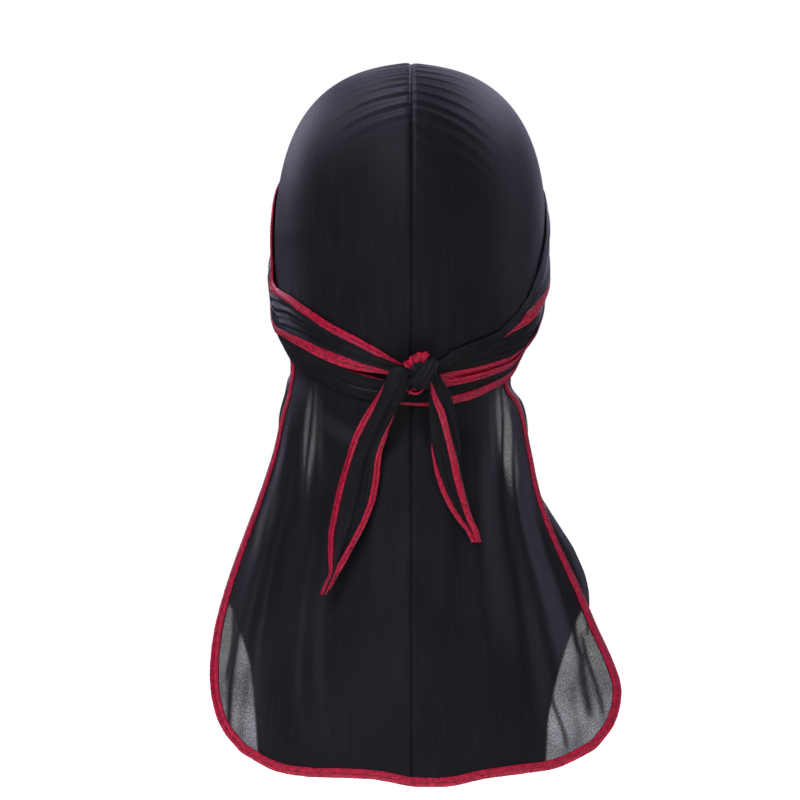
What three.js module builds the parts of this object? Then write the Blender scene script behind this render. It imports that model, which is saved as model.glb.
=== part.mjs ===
// A durag as it is worn: two satin panels sewn along a centre seam, a long flared tail,
// tape bound round every edge, and two long ties that go round the head and knot at the nape.
//
// Millimetres, +Z up. The wearer faces +Y, so the back with its knot and tail faces -Y.
// The origin is where the top of the head touches the inside of the crown.

import * as THREE from "three";

// The head that the cloth is stretched over
const headWidth = 153;
const headLength = 189;
const widestDrop = 95; // from the top of the head down to its widest level
const rimDrop = 132; // from the top of the head down to the rim, above the ears
const napeDrop = 184; // from the top of the head down to the rim at the nape
const crownRoundness = 2.45;
const planRoundness = 2.15;

// Cloth and tape
const satinThickness = 1.2;
const clearance = 0.35; // between two pieces that are sewn together
const seamGap = 0.5;
const seamRidgeHeight = 2.2;
const seamRidgeWidth = 17;
const tapeWidth = 5.4;
const tapeThickness = 2.2;

// Panels
const browDip = 9; // degrees that the front edge runs below the rim's plane
const sideDip = 6.5; // the same for the side edge, which the ties cover
const templeAngle = 56; // degrees from the middle of the brow to the end of the front edge
const earAngle = 74; // degrees from the middle of the nape to the side edge of the tail
const tailLength = 218; // from the rim at the nape to the bottom of the hem
const tailHalfWidth = 115; // from the centre seam to the widest place of the side edge
const tailSwing = 15; // how far the hem hangs behind the nape
const tailTuck = 1; // how far the ties draw the top of the tail in there
const neckWrap = 48; // how far the side edges come forward of the centre seam at the top
const tailWrap = 32; // and lower down, where the tail is widest
const foldHeight = 4.2;
const heldDepth = 22; // from the rim down to where the ties let the tail go
const leftHeldDepth = 12; // the same at the left side, where the ties lie higher
const heldBlend = 12; // below that, from where the cloth is held to where it hangs free
const endLift = 1.5; // from the tail's highest fold to the back of a free end

// Ties
const tieThickness = 1;
const tieTapeWidth = 4.6;
const tieTapeThickness = 1.3;
const layerPitch = 2; // from one turn of tie to the next one over it
const tiePleat = 0.3;
const tieStep = 9; // degrees round the head from one section of a tie to the next
const leftEndLength = 125; // below the middle of the knot
const rightEndLength = 97;
const endWidth = 20;
const endPleat = 3;

// Knot
const knotLength = 20;
const knotHeight = 21;
const knotDepth = 10;
const knotRise = 12; // from the rim at the nape up to the middle of the knot
const knotShift = 6; // from the centre seam to the middle of the knot
const knotWrapWidth = 11;
const knotWrapThickness = 2.2;
const knotTilt = 33; // degrees that the wrap leans from upright

// Where the head narrows below its widest level, as shares of the drop to the rim at the nape
// and of the head's half width and half length. The neck leans a little to the left: lean is a
// share of the head's width.
const lowerHead = [
  { drop: 0.516, width: 1.0, back: 1.0, front: 1.0, lean: 0 },
  { drop: 0.65, width: 0.975, back: 0.995, front: 1.0, lean: 0 },
  { drop: 0.755, width: 0.95, back: 0.963, front: 1.0, lean: -0.002 },
  { drop: 0.81, width: 0.925, back: 0.931, front: 0.99, lean: -0.008 },
  { drop: 0.853, width: 0.892, back: 0.897, front: 0.98, lean: -0.016 },
  { drop: 0.902, width: 0.852, back: 0.855, front: 0.97, lean: -0.024 },
  { drop: 0.951, width: 0.82, back: 0.815, front: 0.96, lean: -0.03 },
  { drop: 1.0, width: 0.802, back: 0.782, front: 0.95, lean: -0.032 },
  { drop: 1.09, width: 0.797, back: 0.757, front: 0.95, lean: -0.032 },
];

// The tail's side edges: down is a share of the tail's length, reach of its half width
const tailSides = {
  right: [
    { down: -0.018, reach: 0.5 },
    { down: 0.073, reach: 0.545 },
    { down: 0.174, reach: 0.583 },
    { down: 0.275, reach: 0.622 },
    { down: 0.372, reach: 0.685 },
    { down: 0.459, reach: 0.76 },
    { down: 0.546, reach: 0.835 },
    { down: 0.633, reach: 0.905 },
    { down: 0.72, reach: 0.98 },
    { down: 0.79, reach: 1.015 },
    { down: 0.862, reach: 0.98 },
    { down: 0.92, reach: 0.893 },
  ],
  left: [
    { down: -0.018, reach: 0.588 },
    { down: 0.073, reach: 0.63 },
    { down: 0.174, reach: 0.672 },
    { down: 0.275, reach: 0.733 },
    { down: 0.372, reach: 0.8 },
    { down: 0.459, reach: 0.86 },
    { down: 0.546, reach: 0.913 },
    { down: 0.633, reach: 0.953 },
    { down: 0.72, reach: 0.97 },
    { down: 0.798, reach: 0.96 },
    { down: 0.869, reach: 0.914 },
    { down: 0.927, reach: 0.822 },
  ],
};

// The hem from the centre seam out to the corner: across is a share of the corner's reach
const tailHems = {
  right: [
    { across: 0.0, down: 1.0 },
    { across: 0.2, down: 1.0 },
    { across: 0.4, down: 0.982 },
    { across: 0.6, down: 0.972 },
    { across: 0.8, down: 0.96 },
    { across: 1.0, down: 0.92 },
  ],
  left: [
    { across: 0.0, down: 1.0 },
    { across: 0.2, down: 0.983 },
    { across: 0.4, down: 0.979 },
    { across: 0.6, down: 0.979 },
    { across: 0.8, down: 0.968 },
    { across: 1.0, down: 0.927 },
  ],
};

// Folds of the tail, fanning out from under the ties: atTop and atHem are shares from the seam
// to the side edge, width is a share of that span, height a share of the fold height, and from
// and to are shares of the way down
const tailFolds = {
  right: [
    { atTop: 0.22, atHem: 0.12, width: 0.07, height: 0.5, from: 0.1, to: 0.55 },
    { atTop: 0.46, atHem: 0.3, width: 0.09, height: 0.9, from: 0.08, to: 0.8 },
    { atTop: 0.66, atHem: 0.52, width: 0.07, height: -0.8, from: 0.08, to: 0.9 },
    { atTop: 0.82, atHem: 0.68, width: 0.08, height: 1.1, from: 0.1, to: 1.0 },
    { atTop: 0.93, atHem: 0.84, width: 0.06, height: -0.7, from: 0.3, to: 1.0 },
  ],
  left: [
    { atTop: 0.16, atHem: 0.2, width: 0.08, height: 0.7, from: 0.1, to: 0.7 },
    { atTop: 0.36, atHem: 0.42, width: 0.09, height: -0.7, from: 0.1, to: 0.9 },
    { atTop: 0.52, atHem: 0.56, width: 0.08, height: 1.0, from: 0.08, to: 1.0 },
    { atTop: 0.72, atHem: 0.72, width: 0.07, height: -0.9, from: 0.08, to: 0.8 },
    { atTop: 0.87, atHem: 0.86, width: 0.07, height: 1.0, from: 0.1, to: 1.0 },
  ],
};

// Each tie from its root at the temple, back to the nape, across it, round the brow and back to
// the knot. turn is in degrees from the nape, layer counts from the crown outwards, low and high
// are the edges' heights from the rim's plane as shares of the tie's width on the brow, and
// tape says which edges show their tape (1) or have it rolled inside the fold (0).
const tieWidth = 21;
const tieRoutes = {
  right: [
    { turn: 126, layer: 1, low: -0.55, high: 0.6, lowTape: 1, highTape: 1 },
    { turn: 105, layer: 1, low: -0.4, high: 0.64, lowTape: 1, highTape: 1 },
    { turn: 88, layer: 1, low: -0.18, high: 0.75, lowTape: 1, highTape: 1 },
    { turn: 76, layer: 1, low: -0.16, high: 0.84, lowTape: 1, highTape: 1 },
    { turn: 56, layer: 1, low: -0.15, high: 0.95, lowTape: 1, highTape: 1 },
    { turn: 45, layer: 1, low: -0.04, high: 0.95, lowTape: 1, highTape: 1 },
    { turn: 18, layer: 2, low: 0.34, high: 1.05, lowTape: 1, highTape: 1 },
    { turn: 0, layer: 2, low: -0.25, high: 0.52, lowTape: 0, highTape: 1 },
    { turn: -18, layer: 2, low: -0.25, high: 0.62, lowTape: 0, highTape: 1 },
    { turn: -36, layer: 2, low: -0.38, high: 0.66, lowTape: 0, highTape: 1 },
    { turn: -60, layer: 2, low: -0.57, high: 0.5, lowTape: 0, highTape: 1 },
    { turn: -81, layer: 2, low: -0.42, high: 0.42, lowTape: 0, highTape: 1 },
    { turn: -99, layer: 2, low: -0.5, high: 0.42, lowTape: 1, highTape: 1 },
    { turn: -126, layer: 2, low: -0.5, high: 0.42, lowTape: 1, highTape: 1 },
    { turn: -144, layer: 2, low: -0.55, high: 0.34, lowTape: 1, highTape: 1 },
    { turn: -162, layer: 3, low: -0.5, high: 0.36, lowTape: 1, highTape: 1 },
    { turn: -180, layer: 3, low: -0.1, high: 0.8, lowTape: 1, highTape: 1 },
    { turn: -207, layer: 3, low: 0.44, high: 1.36, lowTape: 1, highTape: 1 },
    { turn: -234, layer: 2.3, low: 0.52, high: 1.45, lowTape: 1, highTape: 1 },
    { turn: -270, layer: 2, low: 0.62, high: 1.75, lowTape: 1, highTape: 1 },
    { turn: -284, layer: 2.5, low: 0.84, high: 1.95, lowTape: 1, highTape: 0 },
    { turn: -300, layer: 3, low: 0.9, high: 1.85, lowTape: 1, highTape: 0 },
    { turn: -312, layer: 3, low: 0.72, high: 1.42, lowTape: 1, highTape: 0 },
    { turn: -324, layer: 3, low: 0.56, high: 1.2, lowTape: 0, highTape: 0 },
    { turn: -333, layer: 3.2, low: 0.52, high: 1.14, lowTape: 0, highTape: 0 },
    { turn: -342, layer: 4, low: 0.4, high: 0.9, lowTape: 0, highTape: 0 },
  ],
  left: [
    { turn: 126, layer: 1, low: -0.55, high: 0.6, lowTape: 1, highTape: 1 },
    { turn: 90, layer: 1, low: -0.42, high: 0.42, lowTape: 1, highTape: 1 },
    { turn: 60, layer: 1, low: -0.46, high: 0.45, lowTape: 1, highTape: 1 },
    { turn: 36, layer: 1, low: -0.28, high: 0.55, lowTape: 1, highTape: 1 },
    { turn: 18, layer: 1, low: -0.16, high: 0.5, lowTape: 1, highTape: 1 },
    { turn: 0, layer: 1, low: -0.38, high: 0.3, lowTape: 1, highTape: 1 },
    { turn: -18, layer: 1, low: -0.57, high: 0.27, lowTape: 1, highTape: 1 },
    { turn: -32, layer: 1, low: -0.69, high: 0.05, lowTape: 1, highTape: 1 },
    { turn: -45, layer: 1, low: -0.92, high: -0.12, lowTape: 1, highTape: 1 },
    { turn: -60, layer: 1, low: -0.86, high: -0.22, lowTape: 1, highTape: 1 },
    { turn: -78, layer: 1, low: -0.8, high: -0.25, lowTape: 1, highTape: 1 },
    { turn: -92, layer: 2, low: -0.72, high: -0.22, lowTape: 1, highTape: 1 },
    { turn: -106, layer: 2, low: -0.6, high: 0.34, lowTape: 1, highTape: 1 },
    { turn: -126, layer: 2, low: -0.5, high: 0.42, lowTape: 1, highTape: 1 },
    { turn: -153, layer: 2, low: -0.5, high: 0.4, lowTape: 1, highTape: 1 },
    { turn: -180, layer: 2, low: -0.1, high: 0.8, lowTape: 1, highTape: 1 },
    { turn: -198, layer: 2, low: 0.46, high: 1.36, lowTape: 1, highTape: 1 },
    { turn: -216, layer: 3, low: 0.44, high: 1.34, lowTape: 1, highTape: 1 },
    { turn: -234, layer: 3, low: 0.05, high: 1.0, lowTape: 1, highTape: 1 },
    { turn: -256, layer: 3, low: -0.3, high: 0.66, lowTape: 1, highTape: 1 },
    { turn: -270, layer: 3, low: -0.4, high: 0.56, lowTape: 1, highTape: 1 },
    { turn: -284, layer: 3, low: -0.02, high: 1.0, lowTape: 1, highTape: 1 },
    { turn: -308, layer: 3, low: 0.47, high: 1.6, lowTape: 1, highTape: 1 },
    { turn: -323, layer: 3, low: 0.68, high: 1.62, lowTape: 1, highTape: 1 },
    { turn: -338, layer: 3, low: 0.73, high: 1.42, lowTape: 1, highTape: 1 },
    { turn: -348, layer: 3.1, low: 0.6, high: 1.2, lowTape: 1, highTape: 1 },
    { turn: -360, layer: 4, low: 0.47, high: 0.91, lowTape: 1, highTape: 1 },
  ],
};

// Free ends below the knot: down is a share of the end's length, across of that length too,
// and width is a share of the end's width
const tieEnds = {
  left: [
    { down: 0.04, across: -0.037, width: 0.44 },
    { down: 0.105, across: -0.1, width: 0.5 },
    { down: 0.168, across: -0.144, width: 0.62 },
    { down: 0.28, across: -0.188, width: 0.8 },
    { down: 0.464, across: -0.232, width: 1.0 },
    { down: 0.648, across: -0.28, width: 0.9 },
    { down: 0.768, across: -0.312, width: 0.66 },
    { down: 0.88, across: -0.328, width: 0.56 },
    { down: 1.0, across: -0.376, width: 0.5 },
  ],
  right: [
    { down: 0.101, across: 0.088, width: 0.48 },
    { down: 0.196, across: 0.121, width: 0.62 },
    { down: 0.262, across: 0.141, width: 0.72 },
    { down: 0.392, across: 0.175, width: 0.78 },
    { down: 0.567, across: 0.216, width: 0.75 },
    { down: 0.763, across: 0.268, width: 0.62 },
    { down: 0.907, across: 0.335, width: 0.54 },
    { down: 1.0, across: 0.381, width: 0.5 },
  ],
};

const degrees = Math.PI / 180;
const vector = (x, y, z) => new THREE.Vector3(x, y, z);
const lerp = (a, b, share) => a + (b - a) * share;

function smoothstep(from, to, value) {
  const share = Math.min(1, Math.max(0, (value - from) / (to - from)));
  return share * share * (3 - 2 * share);
}

// A smooth curve through the rows of a table, read at any value of the key column. It never
// overshoots between two rows.
function readTable(rows, key, column, at) {
  const keys = rows.map((row) => row[key]);
  const values = rows.map((row) => row[column]);
  const rising = keys[keys.length - 1] > keys[0];
  const inside = rising
    ? Math.min(keys[keys.length - 1], Math.max(keys[0], at))
    : Math.max(keys[keys.length - 1], Math.min(keys[0], at));
  let i = 0;
  while (i < keys.length - 2 && (rising ? inside > keys[i + 1] : inside < keys[i + 1])) i += 1;
  const slopes = keys.slice(1).map((k, j) => (values[j + 1] - values[j]) / (k - keys[j]));
  const bend = (j) => {
    if (j === 0) return slopes[0];
    if (j === keys.length - 1) return slopes[j - 1];
    const product = slopes[j - 1] * slopes[j];
    return product <= 0 ? 0 : (2 * product) / (slopes[j - 1] + slopes[j]);
  };
  const span = keys[i + 1] - keys[i];
  const s = (inside - keys[i]) / span;
  const s2 = s * s;
  const s3 = s2 * s;
  return (
    (2 * s3 - 3 * s2 + 1) * values[i] +
    (s3 - 2 * s2 + s) * span * bend(i) +
    (3 * s2 - 2 * s3) * values[i + 1] +
    (s3 - s2) * span * bend(i + 1)
  );
}

// The head's horizontal section at a drop below its top
function headSection(drop) {
  if (drop <= widestDrop) {
    const rise = Math.min(1, Math.max(0, 1 - drop / widestDrop));
    const spread = Math.pow(1 - Math.pow(rise, crownRoundness), 1 / crownRoundness);
    const reach = (headLength / 2) * spread;
    return { side: (headWidth / 2) * spread, back: reach, front: reach, lean: 0 };
  }
  const first = lowerHead[0].drop;
  const share = first + ((1 - first) * (drop - widestDrop)) / (napeDrop - widestDrop);
  const read = (column) => readTable(lowerHead, "drop", column, share);
  return {
    side: (headWidth / 2) * read("width"),
    back: (headLength / 2) * read("back"),
    front: (headLength / 2) * read("front"),
    lean: headWidth * read("lean"),
  };
}

function sectionRadius(section, turn) {
  const along = Math.cos(turn);
  const reach = along > 0 ? section.back : section.front;
  const sum =
    Math.pow(Math.abs(Math.sin(turn)) / section.side, planRoundness) +
    Math.pow(Math.abs(along) / reach, planRoundness);
  return Math.pow(sum, -1 / planRoundness);
}

// A point of the head at a turn from the nape (towards +X) and a height
function headPoint(turn, z) {
  const section = headSection(-z);
  const r = sectionRadius(section, turn);
  return vector(section.lean + r * Math.sin(turn), -r * Math.cos(turn), z);
}

function headNormal(turn, z) {
  const turnStep = 0.01;
  const heightStep = 0.5;
  const around = headPoint(turn + turnStep, z).sub(headPoint(turn - turnStep, z));
  const up = headPoint(turn, z + heightStep).sub(headPoint(turn, z - heightStep));
  return around.cross(up).normalize();
}

// The point of the head level with p, raised along the head's normal
function onHead(p, lift) {
  const turn = Math.atan2(p.x - headSection(-p.z).lean, -p.y);
  return headPoint(turn, p.z).addScaledVector(headNormal(turn, p.z), lift);
}

// The rim's plane, from the nape up to the brow
const napeDepth = headSection(napeDrop).back;
const neckLean = headSection(napeDrop).lean;
const rimSlope = (napeDrop - rimDrop) / napeDepth;
const rimCentre = vector(0, 0, -rimDrop);
const rimForward = vector(0, 1, rimSlope).normalize();
const rimUp = vector(0, -rimSlope, 1).normalize();

// Steps in which a place on the head is found
const solveSteps = 40;

// The height is corrected by a part of the error each time, so that it settles without swinging
function rimPoint(turn) {
  const correction = 0.6;
  let z = -rimDrop;
  for (let i = 0; i < solveSteps; i += 1) {
    z = lerp(z, -rimDrop + rimSlope * headPoint(turn, z).y, correction);
  }
  return headPoint(turn, z);
}

// The point of the head that a ray from the middle of the rim's plane meets
function headAlong(direction) {
  let near = 0;
  let far = headLength;
  for (let i = 0; i < solveSteps; i += 1) {
    const middle = (near + far) / 2;
    const p = rimCentre.clone().addScaledVector(direction, middle);
    const section = headSection(-p.z);
    const x = p.x - section.lean;
    const inside = p.z < 0 && Math.hypot(x, p.y) < sectionRadius(section, Math.atan2(x, -p.y));
    if (inside) near = middle;
    else far = middle;
  }
  return rimCentre.clone().addScaledVector(direction, near);
}

// The head's normal where that ray leaves it
function normalAlong(direction) {
  const nearlyUp = 0.3;
  const rayStep = 0.03;
  const first = vector(0, 0, 1).cross(direction);
  if (first.length() < nearlyUp) first.set(1, 0, 0);
  first.normalize();
  const second = direction.clone().cross(first).normalize();
  const spot = (tangent, step) => headAlong(direction.clone().addScaledVector(tangent, step).normalize());
  const normal = spot(first, rayStep)
    .sub(spot(first, -rayStep))
    .cross(spot(second, rayStep).sub(spot(second, -rayStep)))
    .normalize();
  return normal.dot(direction) < 0 ? normal.negate() : normal;
}

// The crown's half of a panel: across runs from the seam (0) to the side edge (1), and along
// runs from the brow (0) over the top of the head to the nape (1)
function crownDirection(side, across, along) {
  const edgeEase = 0.15; // the side edge turns back slowly near the brow and near the nape
  const seamAngle = lerp(-browDip, 180, along) * degrees;
  const edgeAngle = lerp(templeAngle, 180 - earAngle, smoothstep(-edgeEase, 1 + edgeEase, along)) * degrees;
  const seam = rimForward
    .clone()
    .multiplyScalar(Math.cos(seamAngle))
    .addScaledVector(rimUp, Math.sin(seamAngle));
  const edge = rimForward
    .clone()
    .multiplyScalar(Math.cos(edgeAngle))
    .addScaledVector(vector(side, 0, 0), Math.sin(edgeAngle))
    .addScaledVector(rimUp, -Math.sin(sideDip * degrees))
    .normalize();
  const angle = Math.acos(Math.min(1, seam.dot(edge)));
  return seam
    .multiplyScalar(Math.sin((1 - across) * angle) / Math.sin(angle))
    .addScaledVector(edge, Math.sin(across * angle) / Math.sin(angle));
}

function crownPoint(side, across, along) {
  const direction = crownDirection(side, across, along);
  const p = headAlong(direction);
  // Over the top of the head the sewn edges stand up in a low ridge
  const ridge = Math.exp(-Math.abs(p.x) / seamRidgeWidth) * Math.sin(Math.PI * along) ** 2;
  return p.addScaledVector(direction, seamRidgeHeight * ridge);
}

// A smooth curve through points that are evenly spaced in share
function through(points, share) {
  const last = points.length - 1;
  const at = Math.min(last - 1e-9, Math.max(0, share * last));
  const i = Math.floor(at);
  const s = at - i;
  const p1 = points[i];
  const p2 = points[i + 1];
  const p0 = i > 0 ? points[i - 1] : p1.clone().multiplyScalar(2).sub(p2);
  const p3 = i + 2 <= last ? points[i + 2] : p2.clone().multiplyScalar(2).sub(p1);
  const blend = [
    -0.5 * s ** 3 + s ** 2 - 0.5 * s,
    1.5 * s ** 3 - 2.5 * s ** 2 + 1,
    -1.5 * s ** 3 + 2 * s ** 2 + 0.5 * s,
    0.5 * s ** 3 - 0.5 * s ** 2,
  ];
  return vector(0, 0, 0)
    .addScaledVector(p0, blend[0])
    .addScaledVector(p1, blend[1])
    .addScaledVector(p2, blend[2])
    .addScaledVector(p3, blend[3]);
}

// The tail's depth at a share of its length and a distance from the seam. At the top it wraps
// the neck, and lower down it opens out behind the shoulders.
function tailDepth(down, x) {
  const opensFrom = 0.02; // shares of the way down
  const opensBy = 0.9;
  const neckShare = 0.43; // of the head's width, where the neck's curve has come forward
  const wrapPower = 2.2;
  const opened = smoothstep(opensFrom, opensBy, down);
  const swung = smoothstep(opensFrom, 1, down);
  const hang = lerp(napeDepth - tailTuck, napeDepth + tailSwing, swung);
  const neck = neckWrap * ((x - neckLean) / (headWidth * neckShare)) ** 2;
  const wide = tailWrap * Math.abs(x / tailHalfWidth) ** wrapPower;
  return -hang + lerp(neck, wide, opened);
}

// The four sides of one half of the tail, as points
function tailOutline(side) {
  const name = side > 0 ? "right" : "left";
  const sides = tailSides[name];
  const place = (reach, down) => {
    const x = side * reach * tailHalfWidth;
    return vector(x, tailDepth(down, x), -napeDrop - down * tailLength);
  };
  const edge = [crownPoint(side, 1, 1)].concat(sides.map((row) => place(row.reach, row.down)));
  const corner = sides[sides.length - 1];
  const hem = tailHems[name].map((row) => place(corner.reach * row.across, row.down));
  const steps = sides.length;
  const seam = Array.from({ length: steps + 1 }, (_, i) => place(0, (i / steps) * tailHems[name][0].down));
  seam[0] = crownPoint(side, 0, 1);
  return { edge, hem, seam };
}

const outlines = { 1: tailOutline(1), "-1": tailOutline(-1) };

function heldShare(p) {
  const leftReach = 0.4; // of the head's width, where the left side's own depth is reached
  const below = -p.clone().sub(rimCentre).dot(rimUp);
  const leftness = Math.min(1, (Math.min(0, p.x) / (headWidth * leftReach)) ** 2);
  const release = lerp(heldDepth, leftHeldDepth, leftness);
  return 1 - smoothstep(release, release + heldBlend, below);
}

// The tail's half of a panel: across as on the crown, and down from the rim (0) to the hem (1)
function tailPoint(side, across, down) {
  const { edge, hem, seam } = outlines[side];
  const top = crownPoint(side, across, 1);
  const inner = through(seam, down);
  const outer = through(edge, down);
  const bottom = through(hem, across);
  const corners = seam[0]
    .clone()
    .multiplyScalar((1 - across) * (1 - down))
    .addScaledVector(edge[0], across * (1 - down))
    .addScaledVector(hem[0], (1 - across) * down)
    .addScaledVector(hem[hem.length - 1], across * down);
  const p = inner
    .multiplyScalar(1 - across)
    .addScaledVector(outer, across)
    .addScaledVector(top, 1 - down)
    .addScaledVector(bottom, down)
    .sub(corners);
  // Folds fan out from under the ties, and die out at the seam and towards the bound edges. A
  // fold rises over its onset, and dies away from before its end to a little past it.
  const calmZones = { seam: 0.1, edgeFrom: 0.9, edgeLoss: 0.75, hemFrom: 0.85, hemLoss: 0.6 };
  const onset = 0.2;
  const fade = 0.25;
  const trail = 0.05;
  const calm =
    smoothstep(0, calmZones.seam, across) *
    (1 - calmZones.edgeLoss * smoothstep(calmZones.edgeFrom, 1, across)) *
    (1 - calmZones.hemLoss * smoothstep(calmZones.hemFrom, 1, down));
  for (const fold of tailFolds[side > 0 ? "right" : "left"]) {
    const middle = lerp(fold.atTop, fold.atHem, down);
    const profile = Math.exp(-(((across - middle) / fold.width) ** 2));
    const risen = smoothstep(fold.from, fold.from + onset, down);
    const left = 1 - smoothstep(fold.to - fade, fold.to + trail, down);
    p.y -= foldHeight * fold.height * profile * risen * left * calm;
  }
  // Under the ties the cloth is held against the head
  const held = heldShare(p);
  return held > 0 ? p.lerp(onHead(p, 0), held) : p;
}

// A panel from the brow (0) over the crown (to 1) and down the tail (to 2)
function panelPoint(side, across, along) {
  return along <= 1 ? crownPoint(side, across, along) : tailPoint(side, across, along - 1);
}

function panelNormal(side, across, along) {
  if (along <= 1) return normalAlong(crownDirection(side, across, along));
  const shareStep = 0.02;
  const a = panelPoint(side, Math.min(1, across + shareStep), along);
  const b = panelPoint(side, Math.max(0, across - shareStep), along);
  const c = panelPoint(side, across, Math.min(2, along + shareStep));
  const d = panelPoint(side, across, Math.max(1 + 1e-6, along - shareStep));
  const hanging = a.sub(b).cross(c.sub(d)).multiplyScalar(-side).normalize();
  const p = panelPoint(side, across, along);
  const onNeck = headNormal(Math.atan2(p.x - headSection(-p.z).lean, -p.y), p.z);
  return hanging.lerp(onNeck, heldShare(p)).normalize();
}

// A closed solid from rows of points: each row is one closed ring, and the ends are capped
function solidFromRings(rings) {
  const count = rings[0].length;
  const positions = rings.flat().flatMap((p) => [p.x, p.y, p.z]);
  const faces = [];
  for (let i = 0; i < rings.length - 1; i += 1) {
    for (let j = 0; j < count; j += 1) {
      const a = i * count + j;
      const b = i * count + ((j + 1) % count);
      faces.push(a, b, a + count, b, b + count, a + count);
    }
  }
  const last = (rings.length - 1) * count;
  for (let j = 1; j < count - 1; j += 1) {
    faces.push(0, j + 1, j);
    faces.push(last, last + j, last + j + 1);
  }
  return orientedGeometry(positions, faces);
}

// A closed solid between two faces of a grid of points
function solidFromGrids(outer, inner) {
  const rows = outer.length;
  const columns = outer[0].length;
  const positions = [...outer.flat(), ...inner.flat()].flatMap((p) => [p.x, p.y, p.z]);
  const offset = rows * columns;
  const faces = [];
  const at = (i, j) => i * columns + j;
  const quad = (a, b, c, d) => faces.push(a, b, c, a, c, d);
  for (let i = 0; i < rows - 1; i += 1) {
    for (let j = 0; j < columns - 1; j += 1) {
      quad(at(i, j), at(i, j + 1), at(i + 1, j + 1), at(i + 1, j));
      quad(offset + at(i, j), offset + at(i + 1, j), offset + at(i + 1, j + 1), offset + at(i, j + 1));
    }
  }
  for (let j = 0; j < columns - 1; j += 1) {
    quad(at(0, j + 1), at(0, j), offset + at(0, j), offset + at(0, j + 1));
    quad(at(rows - 1, j), at(rows - 1, j + 1), offset + at(rows - 1, j + 1), offset + at(rows - 1, j));
  }
  for (let i = 0; i < rows - 1; i += 1) {
    quad(at(i, 0), at(i + 1, 0), offset + at(i + 1, 0), offset + at(i, 0));
    const [a, b] = [at(i, columns - 1), at(i + 1, columns - 1)];
    quad(b, a, offset + a, offset + b);
  }
  return orientedGeometry(positions, faces);
}

// Turns every face round if the solid came out inside out
function orientedGeometry(positions, faces) {
  let volume = 0;
  const p = (i) => vector(positions[3 * i], positions[3 * i + 1], positions[3 * i + 2]);
  for (let i = 0; i < faces.length; i += 3) {
    volume += p(faces[i]).dot(p(faces[i + 1]).cross(p(faces[i + 2])));
  }
  if (volume < 0) {
    for (let i = 0; i < faces.length; i += 3) [faces[i + 1], faces[i + 2]] = [faces[i + 2], faces[i + 1]];
  }
  const geometry = new THREE.BufferGeometry();
  geometry.setAttribute("position", new THREE.Float32BufferAttribute(positions, 3));
  geometry.setIndex(faces);
  geometry.computeVertexNormals();
  return geometry;
}

// Rows of a panel: closer over the crown's ridge and the tail's corner
const panelColumns = 14;
const crownRows = 17;
const tailRows = 20;

function panelRows() {
  const rows = [];
  for (let i = 0; i <= crownRows; i += 1) rows.push(i / crownRows);
  for (let i = 1; i <= tailRows; i += 1) rows.push(1 + i / tailRows);
  return rows;
}

function panelGeometry(side) {
  const outer = [];
  const inner = [];
  for (const along of panelRows()) {
    const outerRow = [];
    const innerRow = [];
    for (let j = 0; j <= panelColumns; j += 1) {
      const across = j / panelColumns;
      const p = panelPoint(side, across, along);
      const raised = p.clone().addScaledVector(panelNormal(side, across, along), satinThickness);
      for (const q of [p, raised]) {
        if (j === 0) q.x = 0;
        q.x += (side * seamGap) / 2;
      }
      outerRow.push(raised);
      innerRow.push(p);
    }
    outer.push(outerRow);
    inner.push(innerRow);
  }
  return solidFromGrids(outer, inner);
}

// A flat tape along a line of stations: each has a point, a direction across the tape and one
// through it, and the section is a list of shares of the width and of the thickness
const flatSection = [
  [-0.5, -0.5],
  [0.5, -0.5],
  [0.5, 0.5],
  [-0.5, 0.5],
];
const boundSection = [
  [-0.5, -0.42],
  [0.22, -0.5],
  [0.5, 0.0],
  [0.22, 0.5],
  [-0.5, 0.42],
];

function tapeGeometry(stations, section, width, thickness) {
  return solidFromRings(
    stations.map(({ point, across, through: outward }) =>
      section.map(([a, t]) =>
        point
          .clone()
          .addScaledVector(across, a * width)
          .addScaledVector(outward, t * thickness),
      ),
    ),
  );
}

// Stations just outside a panel's edge, where the tape is folded over the cloth. facing is 1
// along the brow and -1 along the tail, where the cloth's outer face looks the other way.
function edgeStations(side, places, facing) {
  return places.map(([across, along], i) => {
    const before = places[Math.max(0, i - 1)];
    const after = places[Math.min(places.length - 1, i + 1)];
    const direction = panelPoint(side, ...after).sub(panelPoint(side, ...before)).normalize();
    const normal = panelNormal(side, across, along);
    const outward = direction.clone().cross(normal).normalize().multiplyScalar(side * facing);
    const p = panelPoint(side, across, along);
    p.addScaledVector(normal, satinThickness / 2);
    p.addScaledVector(outward, clearance + tapeWidth / 2);
    p.x += (side * seamGap) / 2;
    return { point: p, across: outward, through: normal };
  });
}

// The tape of the tail goes down one side edge, round the hem and up the other side edge
function tailTapeStations() {
  const half = (side) => {
    const places = [];
    for (let i = 1; i <= tailRows; i += 1) places.push([1, 1 + i / tailRows]);
    for (let j = 1; j < panelColumns; j += 1) places.push([1 - j / panelColumns, 2]);
    return edgeStations(side, places, -1);
  };
  const middle = panelPoint(1, 0, 2);
  const centre = {
    point: vector(0, middle.y - satinThickness / 2, middle.z - clearance - tapeWidth / 2),
    across: vector(0, 0, -1),
    through: vector(0, -1, 0),
  };
  return [...half(-1), centre, ...half(1).reverse()];
}

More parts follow.
